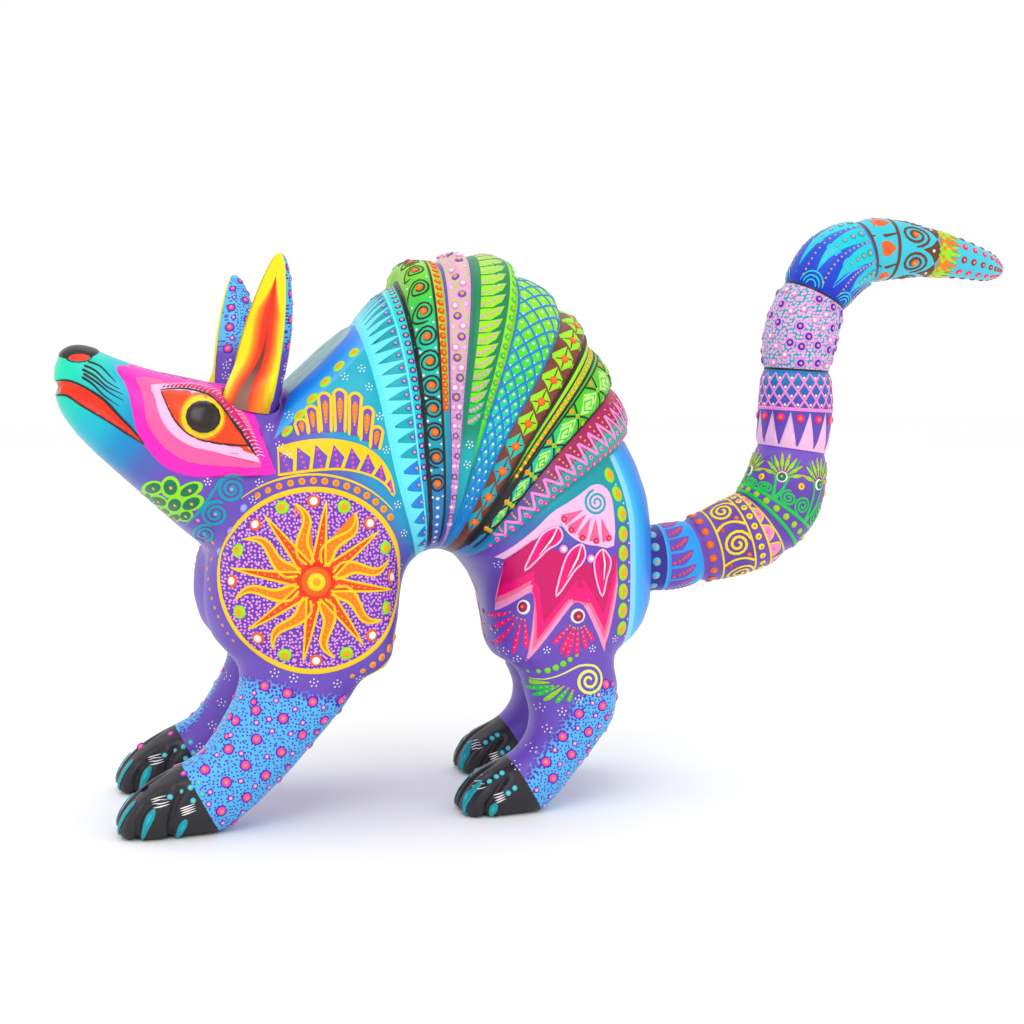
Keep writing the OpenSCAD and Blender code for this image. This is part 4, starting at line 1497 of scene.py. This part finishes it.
# Places in X and Z measured from the toe tips of each paw.
FORE_BIG = (
    (57.7, 57.2), (66, 54.5), (75.8, 50.7), (87.7, 49.8), (54.1, 48), (64.2, 44.8), (80.8, 42.4),
    (53.9, 37.1),
    (71.8, 37.6), (43.3, 33.4), (63.4, 31.6), (49.4, 27.4), (57.2, 22.7), (34.1, 26.1), (41.9, 21.3),
    (49.8, 14.6),
    (39.9, 10.2), (46.7, 43.5), (71, 24.6), (45.6, 3.8),
)
HIND_BIG = (
    (58.9, 43), (48.6, 40.5), (52.7, 32.9), (41.8, 31.5), (45.4, 24.1), (34.7, 21.6), (37.6, 14.8),
    (26.6, 13.1),
    (29.5, 5.5), (60.6, 51.6),
)
FORE_BLOSSOMS = ((61.5, 62.2), (68.5, 60.2), (76.3, 58.2), (85.6, 57.2), (95, 58))
HIND_BLOSSOMS = ((34.5, 42.4), (41.9, 41.4), (48.5, 46.4), (36.4, 34.2), (30.5, 26.4), (23.4, 19.9))
FORE_INNER = ((46.1, 66.6), (46.8, 57.6), (46.8, 49.4), (44.3, 38.6), (40.4, 28.8), (35.2, 19.6))
# Claws, strokes and dots on the outer side of each paw.
FORE_CLAWS = (((14.6, 12.8), (12.4, 9), (10.9, 5.2), (9.9, 0.9)), ((26.4, 8.2), (24.8, 5.2), (23.6, 2.2),
                                                                   (23, 0.4)))
HIND_CLAWS = (((5.7, 10.5), (3.6, 7.8), (2.4, 4.5), (2.4, 1)), ((13.6, 6.4), (12.5, 3.8), (12.2, 1.8),
                                                                (12.3, 0.5)))
FORE_STROKES = (((14.3, 13.3), (19.9, 14.8)), ((24.8, 10.1), (30, 11.6)))
HIND_STROKES = (((6.3, 10.9), (10, 13)), ((13.7, 6.7), (17.3, 8.4)))
FORE_BEADS = ((20.5, 17), (24.8, 18.4), (28.3, 20.1), (31.5, 21.7), (29.1, 15.2), (32.5, 17.4))
HIND_BEADS = ((11.7, 14.7), (14.9, 16.2), (17.4, 17.4), (18.6, 10.2), (21.4, 12))
LEAN = {"fore": ((-151.0, 16.0), (-112.0, 56.0)), "hind": ((-29.0, 16.0), (-8.0, 50.0))}


def pink_dot(space, at, radius):
    dot(space, at, (radius + 0.6, "violet_dark"), (radius, "rose_dot"), (radius * 0.45, "peach"), film=True)


def small_pink_dot(space, at, radius=0.85):
    dot(space, at, (radius + 0.45, "violet_dark"), (radius, "pink"), (radius * 0.4, "white"), film=True)


def leg_blue(x, z, hind):
    """Above 0 in the blue zone of a leg's outer side; x is measured from the toe tips."""
    if hind:
        return min((x - 48.6 - (z - 40.5) / 1.245 + 2) * 0.2, (52 - z) * 0.2)
    return (57 - 0.24 * (x - 58) - z) * 0.2


def paint_leg(name, side, tip):
    hind = name.startswith("hind")
    outer, inner = Flank(side, (tip + 40, 30)), Inner(side)
    moved = [(tip + x, z) for x, z in (HIND_BIG if hind else FORE_BIG)]
    taken = [(at, 2.0) for at in moved]
    for at in moved:
        if hind and not 3 < at[1] < 60 or on_paw(at[0] - tip, at[1], hind):
            continue
        pink_dot(outer, at, 1.75)
    rng = random.Random(name)
    for _ in range(500):
        x, z = rng.uniform(18, 92), rng.uniform(3, 56)
        at = (tip + x, z)
        if leg_blue(x, z, hind) < 0.2 or any(math.dist(at, other) < r + 2.6 for other, r in taken):
            continue
        hit = outer.find(*at)
        if hit and abs(hit[1].y) > 0.25 and (hit[0].x - at[0]) ** 2 < 0.1 and not on_paw(x, z, hind):
            taken.append((at, 1.6))
            small_pink_dot(outer, at)
    for x, z in HIND_BLOSSOMS if hind else FORE_BLOSSOMS:
        blossom(outer, (tip + x, z), 1.5)
    if not hind:
        for x, z in FORE_INNER:
            blossom(inner, (tip + x, z), 1.5)
    low, high = LEAN["hind" if hind else "fore"]
    shift = tip - (HIND_TIP if hind else FORE_TIP)
    limb = Limb(side, ((low[0] + shift, low[1]), (high[0] + shift, high[1])))
    for row in range(6):
        height = 18 + 6.6 * row
        for around in ((-14, 22, 158, 192) if row % 2 else (4, 176, 208)):
            if hind and around < 90:
                continue
            pink_dot(limb, (height, around), 1.45 if around in (4, 176) else 1.1)
    paint_paw(outer, inner, side, tip, hind)


def on_paw(x, z, hind):
    if hind:
        return (x - 28.8) * 0.86 + (z - 10) * 0.51 < 1.5
    return (x - 33.5) * 0.885 + (z - 12.5) * 0.466 < 1.5


def paint_paw(outer, inner, side, tip, hind):
    for space in (outer, inner):
        for claw in HIND_CLAWS if hind else FORE_CLAWS:
            line = smooth_line([(tip + x, z) for x, z in claw])
            stroke(space, line, (1.2, 3.4, 2.8, 2.0, 0.8), "turquoise", 1, rise=0.55)
            stroke(space, line[2:9], (0.3, 0.9, 0.3), "cyan", 5, rise=0.3)
        for (ax, az), (bx, bz) in HIND_STROKES if hind else FORE_STROKES:
            for k in range(4):
                up = (-0.2 + 0.95 * k) * 0.9
                ends = [(tip + ax - up * 0.25 - 0.2, az + up), (tip + bx - up * 0.25 + 0.2, bz + up)]
                stroke(space, along_line(ends, 6), (0.3, 0.6, 0.45, 0.15), "white")
        for x, z in HIND_BEADS if hind else FORE_BEADS:
            dot(space, (tip + x, z), (1.15, "cyan"), (0.45, "peach"))
    ahead = Front(tip)
    for y in (-6.6, 6.6):
        middle = side * 37.0 + y
        line = smooth_line([(middle * 1.0, 14.5), (middle + y * 0.05, 10.5), (middle + y * 0.08, 6),
                            (middle, 1.8)])
        stroke(ahead, line, (1.2, 3.6, 3.0, 2.2, 0.8), "turquoise", 1, rise=0.55)


# ---------------------------------------------------------------- the ears
# Rings of an ear: share of its height, half width, depth of the back, depth of the hollow.
EAR = (
    (0, 11, 11, -11), (0.05, 11.2, 11.1, -10.2), (0.12, 11.4, 11.2, -8.2), (0.19, 11.4, 11.3, -5.2),
    (0.27, 11.3, 11.8, -1.2), (0.38, 10.8, 12, 1.6), (0.52, 9.9, 11.6, 2.4), (0.66, 8.4, 10.4, 2.2),
    (0.8, 6.3, 8.2, 1.5), (0.9, 4.4, 6, 0.7), (0.97, 2.6, 3.6, 0), (1, 1.3, 1.8, -0.4),
)
EAR_GAP, EAR_BORE, EAR_BORE_DEEP = 0.1, 3.55, 9.5
EAR_SPLAY, EAR_FACING = 10.0, 41.0
# Hand, seat, backward lean and length of each ear.
EARS = {-1: ("left", (-133.0, -19.0, 164.5), 11.0, 61.5), 1: ("right", (-136.5, 20.0, 164.5), 4.0, 54.0)}
EAR_CURVE = smooth_line(EAR, steps=8)


def ear_row(height):
    heights = [row[0] for row in EAR_CURVE]
    return [float(np.interp(height, heights, [row[k] for row in EAR_CURVE])) for k in (1, 2, 3)]


class Ear:
    """One ear: places are the degrees round it, 0 at the middle of the back, and the share of its height."""

    def __init__(self, side):
        self.side = side
        self.hand, seat, lean, self.length = EARS[side]
        self.step = (7.0, 1.1 / self.length)
        self.body = self.hand + "_ear"
        turn = Euler((math.radians(-side * EAR_SPLAY), math.radians(lean), 0)).to_matrix().to_4x4()
        self.frame = Matrix.Translation(Vector(seat)) @ turn
        self.facing = self.frame @ Matrix.Rotation(math.radians(-side * EAR_FACING), 4, "Z")

    def place(self, turn, height):
        half, back, hollow = ear_row(height)
        turn = math.radians(turn)
        depth = back if math.cos(turn) > 0 else hollow
        return self.facing @ Vector((depth * abs(math.cos(turn)), half * math.sin(turn),
                                     EAR_GAP + self.length * height))

    def find(self, turn, height):
        height = min(max(height, 0.0), 0.995)
        here = self.place(turn, height)
        along = self.place(turn, min(height + 0.01, 1)) - self.place(turn, max(height - 0.01, 0))
        across = self.place(turn + 1, height) - self.place(turn - 1, height)
        return here, across.cross(along).normalized()

    def scale(self, _turn, height):
        return math.degrees(1 / max(2.0, ear_row(height)[0])), 1 / self.length


def ear_ground():
    p = Paint("ear_ground")
    lateral, height, facing = p.attribute("lateral"), p.attribute("height"), p.attribute("facing")
    drift = height + (p.noise(14) - 0.5) * 0.14
    sky = p.over("#6ec8f6", "#5040b4", p.stipple(1.3, lateral * 13, height * 58) < 0.27)
    share = p.math("MULTIPLY", (drift - 0.36) * 7.0, 1.0, True)
    back = p.over(PURPLE, sky, share)
    wide = p.highest(p.lowest((0.86 - height) * 4, 0.93), 0.001)
    middle = p.lowest(height * 0.95 - 0.4, 0.12)
    bend = p.lowest(abs(lateral - middle) / wide, 1.2)
    inner = p.scale_ramp(bend, 0, 1.2, [
        (0, "#ee2c14"), (0.28, "#f53a12"), (0.42, "#fb6a0a"), (0.58, "#fd9404"), (0.7, "#fecb00"),
        (0.8, "#fdf000"),
    ])
    core = abs(lateral - middle) / p.highest(0.28 - height * 0.56, 0.001)
    inner = p.over(inner, p.ramp(drift, [(0.1, "#94685c"), (0.3, "#7c3c2a"), (0.5, "#a03a22")]), core < 1)
    colour = p.over(back, inner, facing > 0)
    return p.finish(colour, 0.36)


def ear_mesh(side, material):
    ear = Ear(side)
    heights = np.linspace(0, 1, 58)
    turns = np.arange(0, 360, 5)
    points, faces, facts = [], [], []
    for height in heights:
        for turn in turns:
            points.append(ear.place(float(turn), float(height)))
            way = math.radians(float(turn))
            cosine = math.cos(way)
            facts.append((-side * math.sin(way), float(height), 0.0 if abs(cosine) < 1e-6 else -cosine))
    n = len(turns)
    for ring in range(len(heights) - 1):
        for k in range(n):
            a, b = ring * n + k, ring * n + (k + 1) % n
            faces.append((a, b, b + n, a + n))
    top = len(points)
    points.append(ear.place(0, 1) * 0.5 + ear.place(180, 1) * 0.5 + Vector((0, 0, 0.3)))
    facts.append((0, 1, 0.0))
    faces += [(top - n + k, top - n + (k + 1) % n, top) for k in range(n)]
    # The flat foot and the bore for the peg.
    rings = []
    for radius, z in ((None, EAR_GAP), (EAR_BORE, EAR_GAP), (EAR_BORE, EAR_GAP), (EAR_BORE, EAR_BORE_DEEP),
                      (0.01, EAR_BORE_DEEP)):
        rings.append(len(points))
        for turn in turns:
            way = math.radians(float(turn))
            if radius is None:
                points.append(ear.place(float(turn), 0.0))
            else:
                points.append(ear.facing @ Vector((radius * math.cos(way), radius * math.sin(way), z)))
            facts.append((0.0, -1.0, -1.0))
    for a, b in ((rings[0], rings[1]), (rings[2], rings[3]), (rings[3], rings[4])):
        for k in range(n):
            faces.append((a + (k + 1) % n, a + k, b + k, b + (k + 1) % n))
    piece = new_object(f"ear_{ear.hand}_carved", points, faces, ear.body, material)
    for number, word in enumerate(("lateral", "height", "facing")):
        held = piece.data.attributes.new(word, "FLOAT", "POINT")
        held.data.foreach_set("value", [float(f[number]) for f in facts])
    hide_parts(f"ear_{ear.hand}")


def paint_ear(side):
    ear = Ear(side)
    hand = -1 if side < 0 else 1
    for turn, lift in ((-66, 0.0), (-24, -0.07), (20, 0.02), (64, -0.05)):
        turn *= -hand
        for k, height in enumerate((0.35, 0.44, 0.525, 0.61, 0.69, 0.77, 0.855, 0.93)):
            height += lift
            squeeze = 1 - 0.55 * height ** 3
            if k % 2:
                pink_dot(ear, (turn, height), 1.6 * squeeze)
            else:
                small_pink_dot(ear, (turn + 7, height), 0.85 * squeeze)
        for height in (0.19, 0.27):
            blossom(ear, (turn, height + lift + 0.04), 1.4)
        pink_dot(ear, (turn + 20, 0.14), 1.2)
    for edge in (90.0, 270.0):
        stroke(ear, [(edge, h) for h in np.linspace(0.08, 0.985, 30)], (1.1, 1.1, 0.9, 0.6), "lemon", 0)


# ---------------------------------------------------------------- the tail
# Places along the tail: X, Z and radius; grooves are counted along them.
TAIL = (
    (36.6, 97, 14), (50, 97.6, 14.4), (61, 99.8, 14.4), (78, 104.5, 16.6), (93, 111, 17.4), (103, 124, 18),
    (107, 143, 16), (108.8, 161, 16.2), (109, 178, 15.2), (111, 194, 16.2), (117, 210, 15.2),
    (126, 223, 16.2),
    (140, 229.8, 14.4), (155, 231, 12.8), (170, 230, 10.8), (186, 227.5, 8.6), (200, 224.2, 6.4),
    (206, 222.6, 3.6), (208.2, 222, 1.2),
)
TAIL_GROOVES = (2, 4, 6, 8, 10, 12)
TAIL_GROOVE, TAIL_BORE, TAIL_BORE_DEEP = 1.3, 6.05, 16.0


def tail_at(s):
    i = min(int(s), len(TAIL) - 2)
    u = s - i
    a, b, c, d = (TAIL[min(max(i + k, 0), len(TAIL) - 1)] for k in (-1, 0, 1, 2))
    return [
        0.5 * (2 * q + (r - p) * u + (2 * p - 5 * q + 4 * r - t) * u * u + (3 * q - p - 3 * r + t) * u ** 3)
        for p, q, r, t in zip(a, b, c, d)
    ]


def tail_place(s, around):
    """A point on the tail's skin; around is 0 on the near side and 90 on the upper side."""
    s = min(max(s, 0.0), len(TAIL) - 1.001)
    x, z, r = tail_at(s)
    ahead = tail_at(s + 0.001)
    heading = 0.0 if s == 0 else math.atan2(ahead[1] - z, ahead[0] - x)
    r -= TAIL_GROOVE * max(math.exp(-((s - g) / 0.14) ** 2) for g in TAIL_GROOVES)
    way = math.radians(around)
    up = r * math.sin(way)
    return Vector((x - up * math.sin(heading), -r * math.cos(way), z + up * math.cos(heading)))


def tail_normal(s, around):
    along = tail_place(s + 0.01, around) - tail_place(s - 0.01, around)
    across = tail_place(s, around + 1) - tail_place(s, around - 1)
    return along.cross(across).normalized()


class Tail:
    """One tail segment: places are the share along it and the degrees round it."""

    body = "tail"

    def __init__(self, number):
        starts = (0,) + TAIL_GROOVES + (len(TAIL) - 1,)
        self.first, self.last = starts[number], starts[number + 1]
        stations = TAIL[self.first:self.last + 1]
        self.length = sum(math.dist(a[:2], b[:2]) for a, b in zip(stations, stations[1:]))
        self.radius = sum(row[2] for row in stations) / len(stations)
        self.step = (1.15 / self.length, math.degrees(1.15 / self.radius))

    def find(self, share, around):
        s = self.first + (self.last - self.first) * share
        return tail_place(s, around), tail_normal(s, around)

    def scale(self, share, _around):
        radius = max(3.0, tail_at(self.first + (self.last - self.first) * share)[2])
        return 1 / self.length, math.degrees(1 / radius)


def tail_ground(number):
    p = Paint(f"tail_{number + 1}_ground")
    along = p.attribute("along")
    drift = along + (p.noise(12) - 0.5) * 0.12
    if number == 0:
        colour = p.over("#3f3092", "#46a6f0", along > 0.33)
    elif number == 1:
        colour = p.ramp(drift, [(0.1, "#7a55b4"), (0.5, "#6a48a8"), (0.9, "#7a58b8")])
    elif number == 2:
        colour = p.ramp(drift, [(0.1, "#6c50b0"), (0.5, "#6a4cac"), (0.9, "#7c5cc4")])
    elif number == 3:
        colour = p.ramp(drift, [(0.1, "#7450b4"), (0.52, "#5a54b4"), (0.75, "#3a6cb8"), (0.95, "#2f8cc0")])
    elif number == 4:
        dots = p.stipple(1.35, p.attribute("around") * 0.27, p.z)
        colour = p.over("#26a8b8", "#f9b4e8", dots < 0.44)
        return p.finish(colour, relief=(dots < 0.44) * 0.05)
    elif number == 5:
        colour = p.ramp(drift, [(0.0, "#2a3cc4"), (0.4, "#1f50d8"), (0.8, "#2a7ce4"), (1, "#2f86e6")])
    else:
        colour = p.ramp(drift, [(0.1, "#4ccce0"), (0.5, "#54cfe2"), (0.9, "#6adce8")])
    return p.finish(colour)


def tail_mesh(number):
    part = Tail(number)
    rings = np.linspace(part.first, part.last, 9 * (part.last - part.first) + 1)
    turns = np.linspace(-180, 180, 97)
    points, normals, along, around = [], [], [], []
    for s in rings:
        for turn in turns:
            points.append(tail_place(float(s), float(turn)))
            normals.append(tail_normal(float(s), float(turn)))
            along.append((s - part.first) / (part.last - part.first))
            around.append(turn)
    n = len(turns)
    faces = []
    for ring in range(len(rings) - 1):
        for k in range(n - 1):
            a = ring * n + k
            faces.append((a, a + n, a + n + 1, a + 1))
    if number == 0:
        foot = Vector((TAIL[0][0], 0, TAIL[0][1]))
        rows = [(part.radius, 0), (TAIL_BORE, 0), (TAIL_BORE, 0), (TAIL_BORE, TAIL_BORE_DEEP),
                (0.01, TAIL_BORE_DEEP)]
        starts = []
        for row, (radius, deep) in enumerate(rows):
            starts.append(len(points))
            for k, turn in enumerate(turns):
                way = math.radians(float(turn))
                out = Vector((0, -math.cos(way), math.sin(way)))
                points.append(points[k].copy() if row == 0 else foot + out * radius + Vector((deep, 0, 0)))
                normals.append(Vector((-1, 0, 0)) if row in (0, 1, 4) else -out)
                along.append(0.0)
                around.append(turn)
        for a, b in ((starts[0], starts[1]), (starts[2], starts[3]), (starts[3], starts[4])):
            faces += [(a + k, a + k + 1, b + k + 1, b + k) for k in range(n - 1)]
    if part.last == len(TAIL) - 1:
        tip = len(points)
        points.append(Vector((TAIL[-1][0] + 0.5, 0, TAIL[-1][1])))
        normals.append(Vector((1, 0, 0)))
        along.append(1.0)
        around.append(0.0)
        faces += [(tip - n + k, tip, tip - n + k + 1) for k in range(n - 1)]
    piece = new_object(f"tail_segment_{number + 1}", points, faces, "tail",
                       tail_ground(number))
    piece.data.normals_split_custom_set_from_vertices([tuple(v) for v in normals])
    for word, values in (("along", along), ("around", around)):
        held = piece.data.attributes.new(word, "FLOAT", "POINT")
        held.data.foreach_set("value", [float(v) for v in values])
    if number == 0:
        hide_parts("tail")


def ring_line(part, share, width, colour, level=0):
    stroke(part, [(share, a) for a in range(-180, 180, 6)], width, colour, level, closed=True)


def ring_dots(part, share, count, *coats, start=0.0, **more):
    for k in range(count):
        dot(part, (share, -180 + start + 360 * k / count), *coats, **more)


def wavy_curl(part, at, radius, turn, hand, colour, width):
    stroke(part, placed(part, at, spiral((0, 0), radius, 2.2, turn, hand)), width, colour, 1)


def tail_blades(part):
    ring_dots(part, 0.16, 14, (1.9, "sky_bead"), (0.85, "peach"))
    ring_line(part, 0.33, 0.8, "sky")
    for k in range(14):
        a = -180 + 360 * k / 14
        blade = [(0.38, a - 10.5), (0.38, a + 10.5), (0.58, a + 11), (0.86, a + 12.4), (0.78, a + 1),
                 (0.6, a - 10.5)]
        fill(part, blade, "purple")
        for at in along_line([(0.42, a - 5), (0.56, a - 1), (0.76, a + 7)], 6):
            dot(part, at, (0.72, "coral"), level=1)


def tail_golden_curls(part):
    ring_dots(part, 0.12, 15, (1.75, "deep_orange"), (0.8, "orange"))
    for share, width in ((0.24, 0.9), (0.63, 0.9), (0.82, 0.9)):
        ring_line(part, share, width, "yellow", 1)
    ring_dots(part, 0.725, 22, (1.45, "lemon"), (0.7, "orange"))
    for k in range(6):
        a = -180 + 60 * k
        wavy_curl(part, (0.44, a), 6.0, 0, 1, "yellow", 1.25)
        sweep = [(0.24, a - 32), (0.36, a - 24), (0.5, a - 26), (0.63, a - 36)]
        stroke(part, smooth_line(sweep), (1.4, 1.1, 1.1, 1.4), "yellow", 1)
        dot(part, (0.55, a - 28 + 6), (1.1, "deep_orange"), (0.55, "orange"), level=1)
        dot(part, (0.32, a + 27), (0.9, "red_orange"), level=1)
    for k in range(12):
        a = -180 + 30 * k
        scallop = [(0.83, a - 13), (0.93, a - 7), (0.95, a), (0.93, a + 7), (0.83, a + 13)]
        fill(part, smooth_line(scallop, steps=3), "pink")
        stroke(part, smooth_line(scallop, steps=3), 0.7, "yellow", 1)
        dot(part, (0.87, a), (0.8, "rose"), (0.4, "peach"), level=1)
    ring_line(part, 0.975, 0.9, "yellow", 1)


def tail_green_fans(part):
    for share, width in ((0.1, 1.5), (0.29, 1.5)):
        ring_line(part, share, width, "green", 1)
    ring_dots(part, 0.195, 20, (1.5, "leaf"), (0.75, "amber"))
    for k in range(6):
        a = -180 + 60 * k
        fan_at = (0.68, a + 30)
        for side in (-1, 1):
            wavy_curl(part, (0.42, a + side * 12), 4.0, 90 - side * 90, side, "green", 0.95)
            hill = [(0.3, a + side * 29), (0.46, a + side * 25), (0.66, a + side * 21), (0.9, a + side * 7)]
            stroke(part, smooth_line(hill), (1.8, 1.1, 0.6), "green", 1)
        dot(part, (0.62, a), (1.5, "yellow"), (0.8, "orange"), level=1)
        for j in range(8):
            turn = -77 + 22 * j
            rays = [polar((0, 0), reach, turn) for reach in (3, 6, 9.6)]
            ends = placed(part, fan_at, rays)
            stroke(part, ends, (0.6, 1.7, 1.3), "lime", 1)
            for at in along_line(ends, 5):
                dot(part, at, (0.42, "amber"), level=3)
        dot(part, fan_at, (2.5, "white"), (1.9, "dark_green"), (0.6, "amber"), level=2)


def tail_pink_teeth(part):
    for k in range(12):
        a = -180 + 30 * k
        fill(part, [(0.02, a - 15.2), (0.12, a - 11), (0.47, a), (0.12, a + 11), (0.02, a + 15.2)],
             "pale_pink")
        dot(part, (0.39, a + 15), (1.9, "hot_pink"), (0.9, "orange"), level=1)
    ring_line(part, 0.03, 1.6, "pale_pink")
    ring_line(part, 0.5, 1.5, "pink", 1)
    for k in range(18):
        a = -180 + 20 * k
        for way in (-1, 1):
            line = [(0.5 + 0.46 * s, a + way * 40 * s) for s in np.linspace(0, 1, 10)]
            stroke(part, line, 0.95, "pink")
        for share, shift in ((0.56, 0), (0.675, 10), (0.79, 0), (0.9, 10)):
            dot(part, (share, a + shift), (0.6, "white"), level=1)
    ring_line(part, 0.965, 0.8, "blue")


def tail_pink_stipple(part):
    rng = random.Random(5)
    taken = []
    for _ in range(700):
        share, around = rng.uniform(0.08, 0.92), rng.uniform(-180, 180)
        big = len(taken) % 2 == 0
        place = (share * part.length, math.radians(around) * part.radius)
        if all(math.dist(place, other) > 4.9 for other in taken):
            taken.append(place)
            if big:
                dot(part, (share, around), (2.3, "pink"), (1.6, "royal"), (0.75, "peach"), film=True)
            else:
                dot(part, (share, around), (1.5, "pink"), (0.85, "white"), level=1)
    ring_line(part, 0.0, 2.6, "black")
    ring_line(part, 1.0, 2.6, "black")


def tail_blue_petals(part):
    for k in range(10):
        a = -180 + 36 * k
        petal = [(0.2, a), (0.5, a - 8.5), (0.82, a - 15.5), (0.95, a - 16.4), (0.95, a + 16.4),
                 (0.82, a + 15.5),
                 (0.5, a + 8.5)]
        fill(part, petal, "cyan")
        for way in (-1, 1):
            stroke(part, [(0.12, a), (0.5, a + way * 9.6), (0.92, a + way * 17.4)], (0.4, 1.2, 1.0), "sky", 1)
        for j in range(5):
            dot(part, (0.44 + 0.108 * j, a), (0.55 + 0.27 * j, "teal"), (0.35 + 0.1 * j, "peach"), level=1)
        for at in along_line([(0.12, a + 18), (0.94, a + 18)], 14):
            dot(part, at, (0.5, "peach"), level=2)
    for k in range(5):
        centre = (0.02, -180 + 72 * k)
        for reach in (2.4, 4.0, 5.6):
            hoop = [polar((0, 0), reach, -80 + 16 * j) for j in range(11)]
            stroke(part, placed(part, centre, hoop), 0.7, "cyan", 1)
    ring_line(part, 0.0, 1.6, "black")
    ring_line(part, 1.0, 1.7, "brown", 1)


def tail_scrolls(part):
    for k in range(6):
        a = -180 + 60 * k
        petal = [(0.03, a - 13), (0.03, a + 13), (0.07, a + 14), (0.11, a), (0.07, a - 14)]
        fill(part, petal, "deep_orange")
        dot(part, (0.055, a), (1.0, "coral"), level=1)
        stroke(part, [(0.0, a + 30), (0.06, a + 24), (0.125, a + 30)], 1.5, "brown")
        wavy_curl(part, (0.22, a + 30), 5.6, -90, 1, "brown", 1.25)
        dot(part, (0.22, a + 30), (1.7, "deep_orange"), (0.8, "amber"), level=1)
        wedge = [(0.26, a), (0.31, a + 9), (0.34, a + 30), (0.365, a), (0.34, a - 30), (0.31, a - 9)]
        fill(part, wedge, "brown")
        dot(part, (0.32, a), (0.75, "white"), level=1)
        for shift, colour in ((0, "lime"), (30, "orange")):
            at = (0.34, a + shift)
            for j in range(5):
                rays = [polar((0, 0), reach, -56 + 28 * j) for reach in (1, 4.6, 8.6)]
                stroke(part, placed(part, at, rays), (0.7, 2.4, 1.4), colour, 2)
    for share in (0.0, 0.125):
        ring_line(part, share, 1.6, "brown", 1)
    for k in range(9):
        a = -180 + 40 * k + 12
        for j in range(9):
            share = 0.49 + 0.056 * j
            size = 1.9 * (1 - share) ** 0.7 + 0.15
            dot(part, (share, a), (size * 1.2, "hot_pink" if k % 2 else "maroon"), (size * 0.55, "peach"))


TAIL_DESIGNS = (
    tail_blades, tail_golden_curls, tail_green_fans, tail_pink_teeth, tail_pink_stipple, tail_blue_petals,
    tail_scrolls,
)


# ---------------------------------------------------------------- bare wood of the pegs
def bare_wood():
    p = Paint("bare_wood")
    rings = p.node("ShaderNodeTexNoise", Vector=p.node("ShaderNodeMapping", Vector=p.place,
                                                       Scale=(1, 1, 0.08)).outputs[0],
                   Scale=700.0, Detail=4.0)
    grain = Num(p, rings.outputs["Fac"])
    colour = p.ramp(grain, [(0.3, "#c49a64"), (0.5, "#dcb884"), (0.7, "#e8cca0")])
    return p.finish(colour, 0.62, 0.0, relief=grain * 0.06, brush=0.2)


def make_moving_parts():
    material = ear_ground()
    for side in SIDES:
        ear_mesh(side, material)
        paint_ear(side)
    for number, design in enumerate(TAIL_DESIGNS):
        tail_mesh(number)
        design(Tail(number))
    wood = bare_wood()
    for name in ("ear_peg_left", "ear_peg_right", "tail_peg"):
        materials = frame["nodes"][name].data.materials
        materials.clear()
        materials.append(wood)


make_moving_parts()
for leg_name, (leg_side, leg_tip, *_) in PAWS.items():
    paint_leg(leg_name, leg_side, leg_tip)


# ---------------------------------------------------------------- paints as pieces
def paint_material(colour):
    p = Paint("paint_" + colour)
    if colour == "pupil":
        glossy = p.ramp(p.noise(6), [(0.3, "#150c0a"), (0.75, "#2c1610")])
        return p.finish(glossy, 0.2, 0.35, brush=0.3)
    if colour == "sun_ground":
        dots = p.stipple(1.35, p.x, p.z)
        ground = p.over("#7444b8", "#eda6e0", dots < 0.33)
        return p.finish(ground, relief=(dots < 0.33) * 0.05)
    return p.finish(PALETTE[colour])


def make_paint_pieces():
    materials = {}
    for (body, colour), (points, faces) in sorted(pots.items()):
        if colour not in materials:
            materials[colour] = paint_material(colour)
        new_object(f"paint_{body}_{colour}", points, faces, body, materials[colour])


make_paint_pieces()


# ---------------------------------------------------------------- stage, light and camera
def pale_floor():
    size = 4000
    floor = new_object("floor", [(-size, -size, 0), (size, -size, 0), (size, size, 0), (-size, size, 0)],
                       [(0, 1, 2, 3)])
    p = Paint("pale_floor")
    shade = p.node("ShaderNodeBsdfPrincipled", Base_Color=p.ramp(p.noise(400),
                                                                 [(0, "#f7f8f7"), (1, "#fdfdfd")]))
    shade.inputs["Roughness"].default_value = 0.75
    shade.inputs["Specular IOR Level"].default_value = 0.2
    out = p.node("ShaderNodeOutputMaterial")
    p.feed(out.inputs["Surface"], shade.outputs[0])
    floor.data.materials.append(p.material)


def area_light(name, place, target, size, power):
    data = bpy.data.lights.new(name, "AREA")
    data.size = size
    data.energy = power
    lamp = bpy.data.objects.new(name, data)
    lamp.location = place
    lamp.rotation_euler = (Vector(target) - Vector(place)).to_track_quat("-Z", "Y").to_euler()
    bpy.context.scene.collection.objects.link(lamp)


def studio():
    pale_floor()
    world = bpy.data.worlds.new("studio")
    bpy.context.scene.world = world
    world.use_nodes = True
    background = world.node_tree.nodes["Background"]
    background.inputs["Color"].default_value = (1.0, 1.0, 1.0, 1.0)
    background.inputs["Strength"].default_value = 1.03
    middle = (0.0, 0.0, 0.12)
    area_light("key", (-0.7, -1.3, 1.5), middle, 1.1, 9)
    area_light("fill", (1.1, -1.2, 0.8), middle, 1.0, 1.5)
    area_light("top", (0.1, 0.5, 1.6), middle, 1.2, 3)
    data = bpy.data.cameras.new("camera")
    data.lens = 65.0
    data.clip_start = 0.01
    camera = bpy.data.objects.new("camera", data)
    camera.location = (-0.2219, -0.7534, 0.1867)
    camera.rotation_euler = Euler((math.radians(90 - 5.0), 0, math.radians(-15)))
    bpy.context.scene.collection.objects.link(camera)
    bpy.context.scene.camera = camera
    bpy.context.scene.view_settings.view_transform = "Standard"


studio()
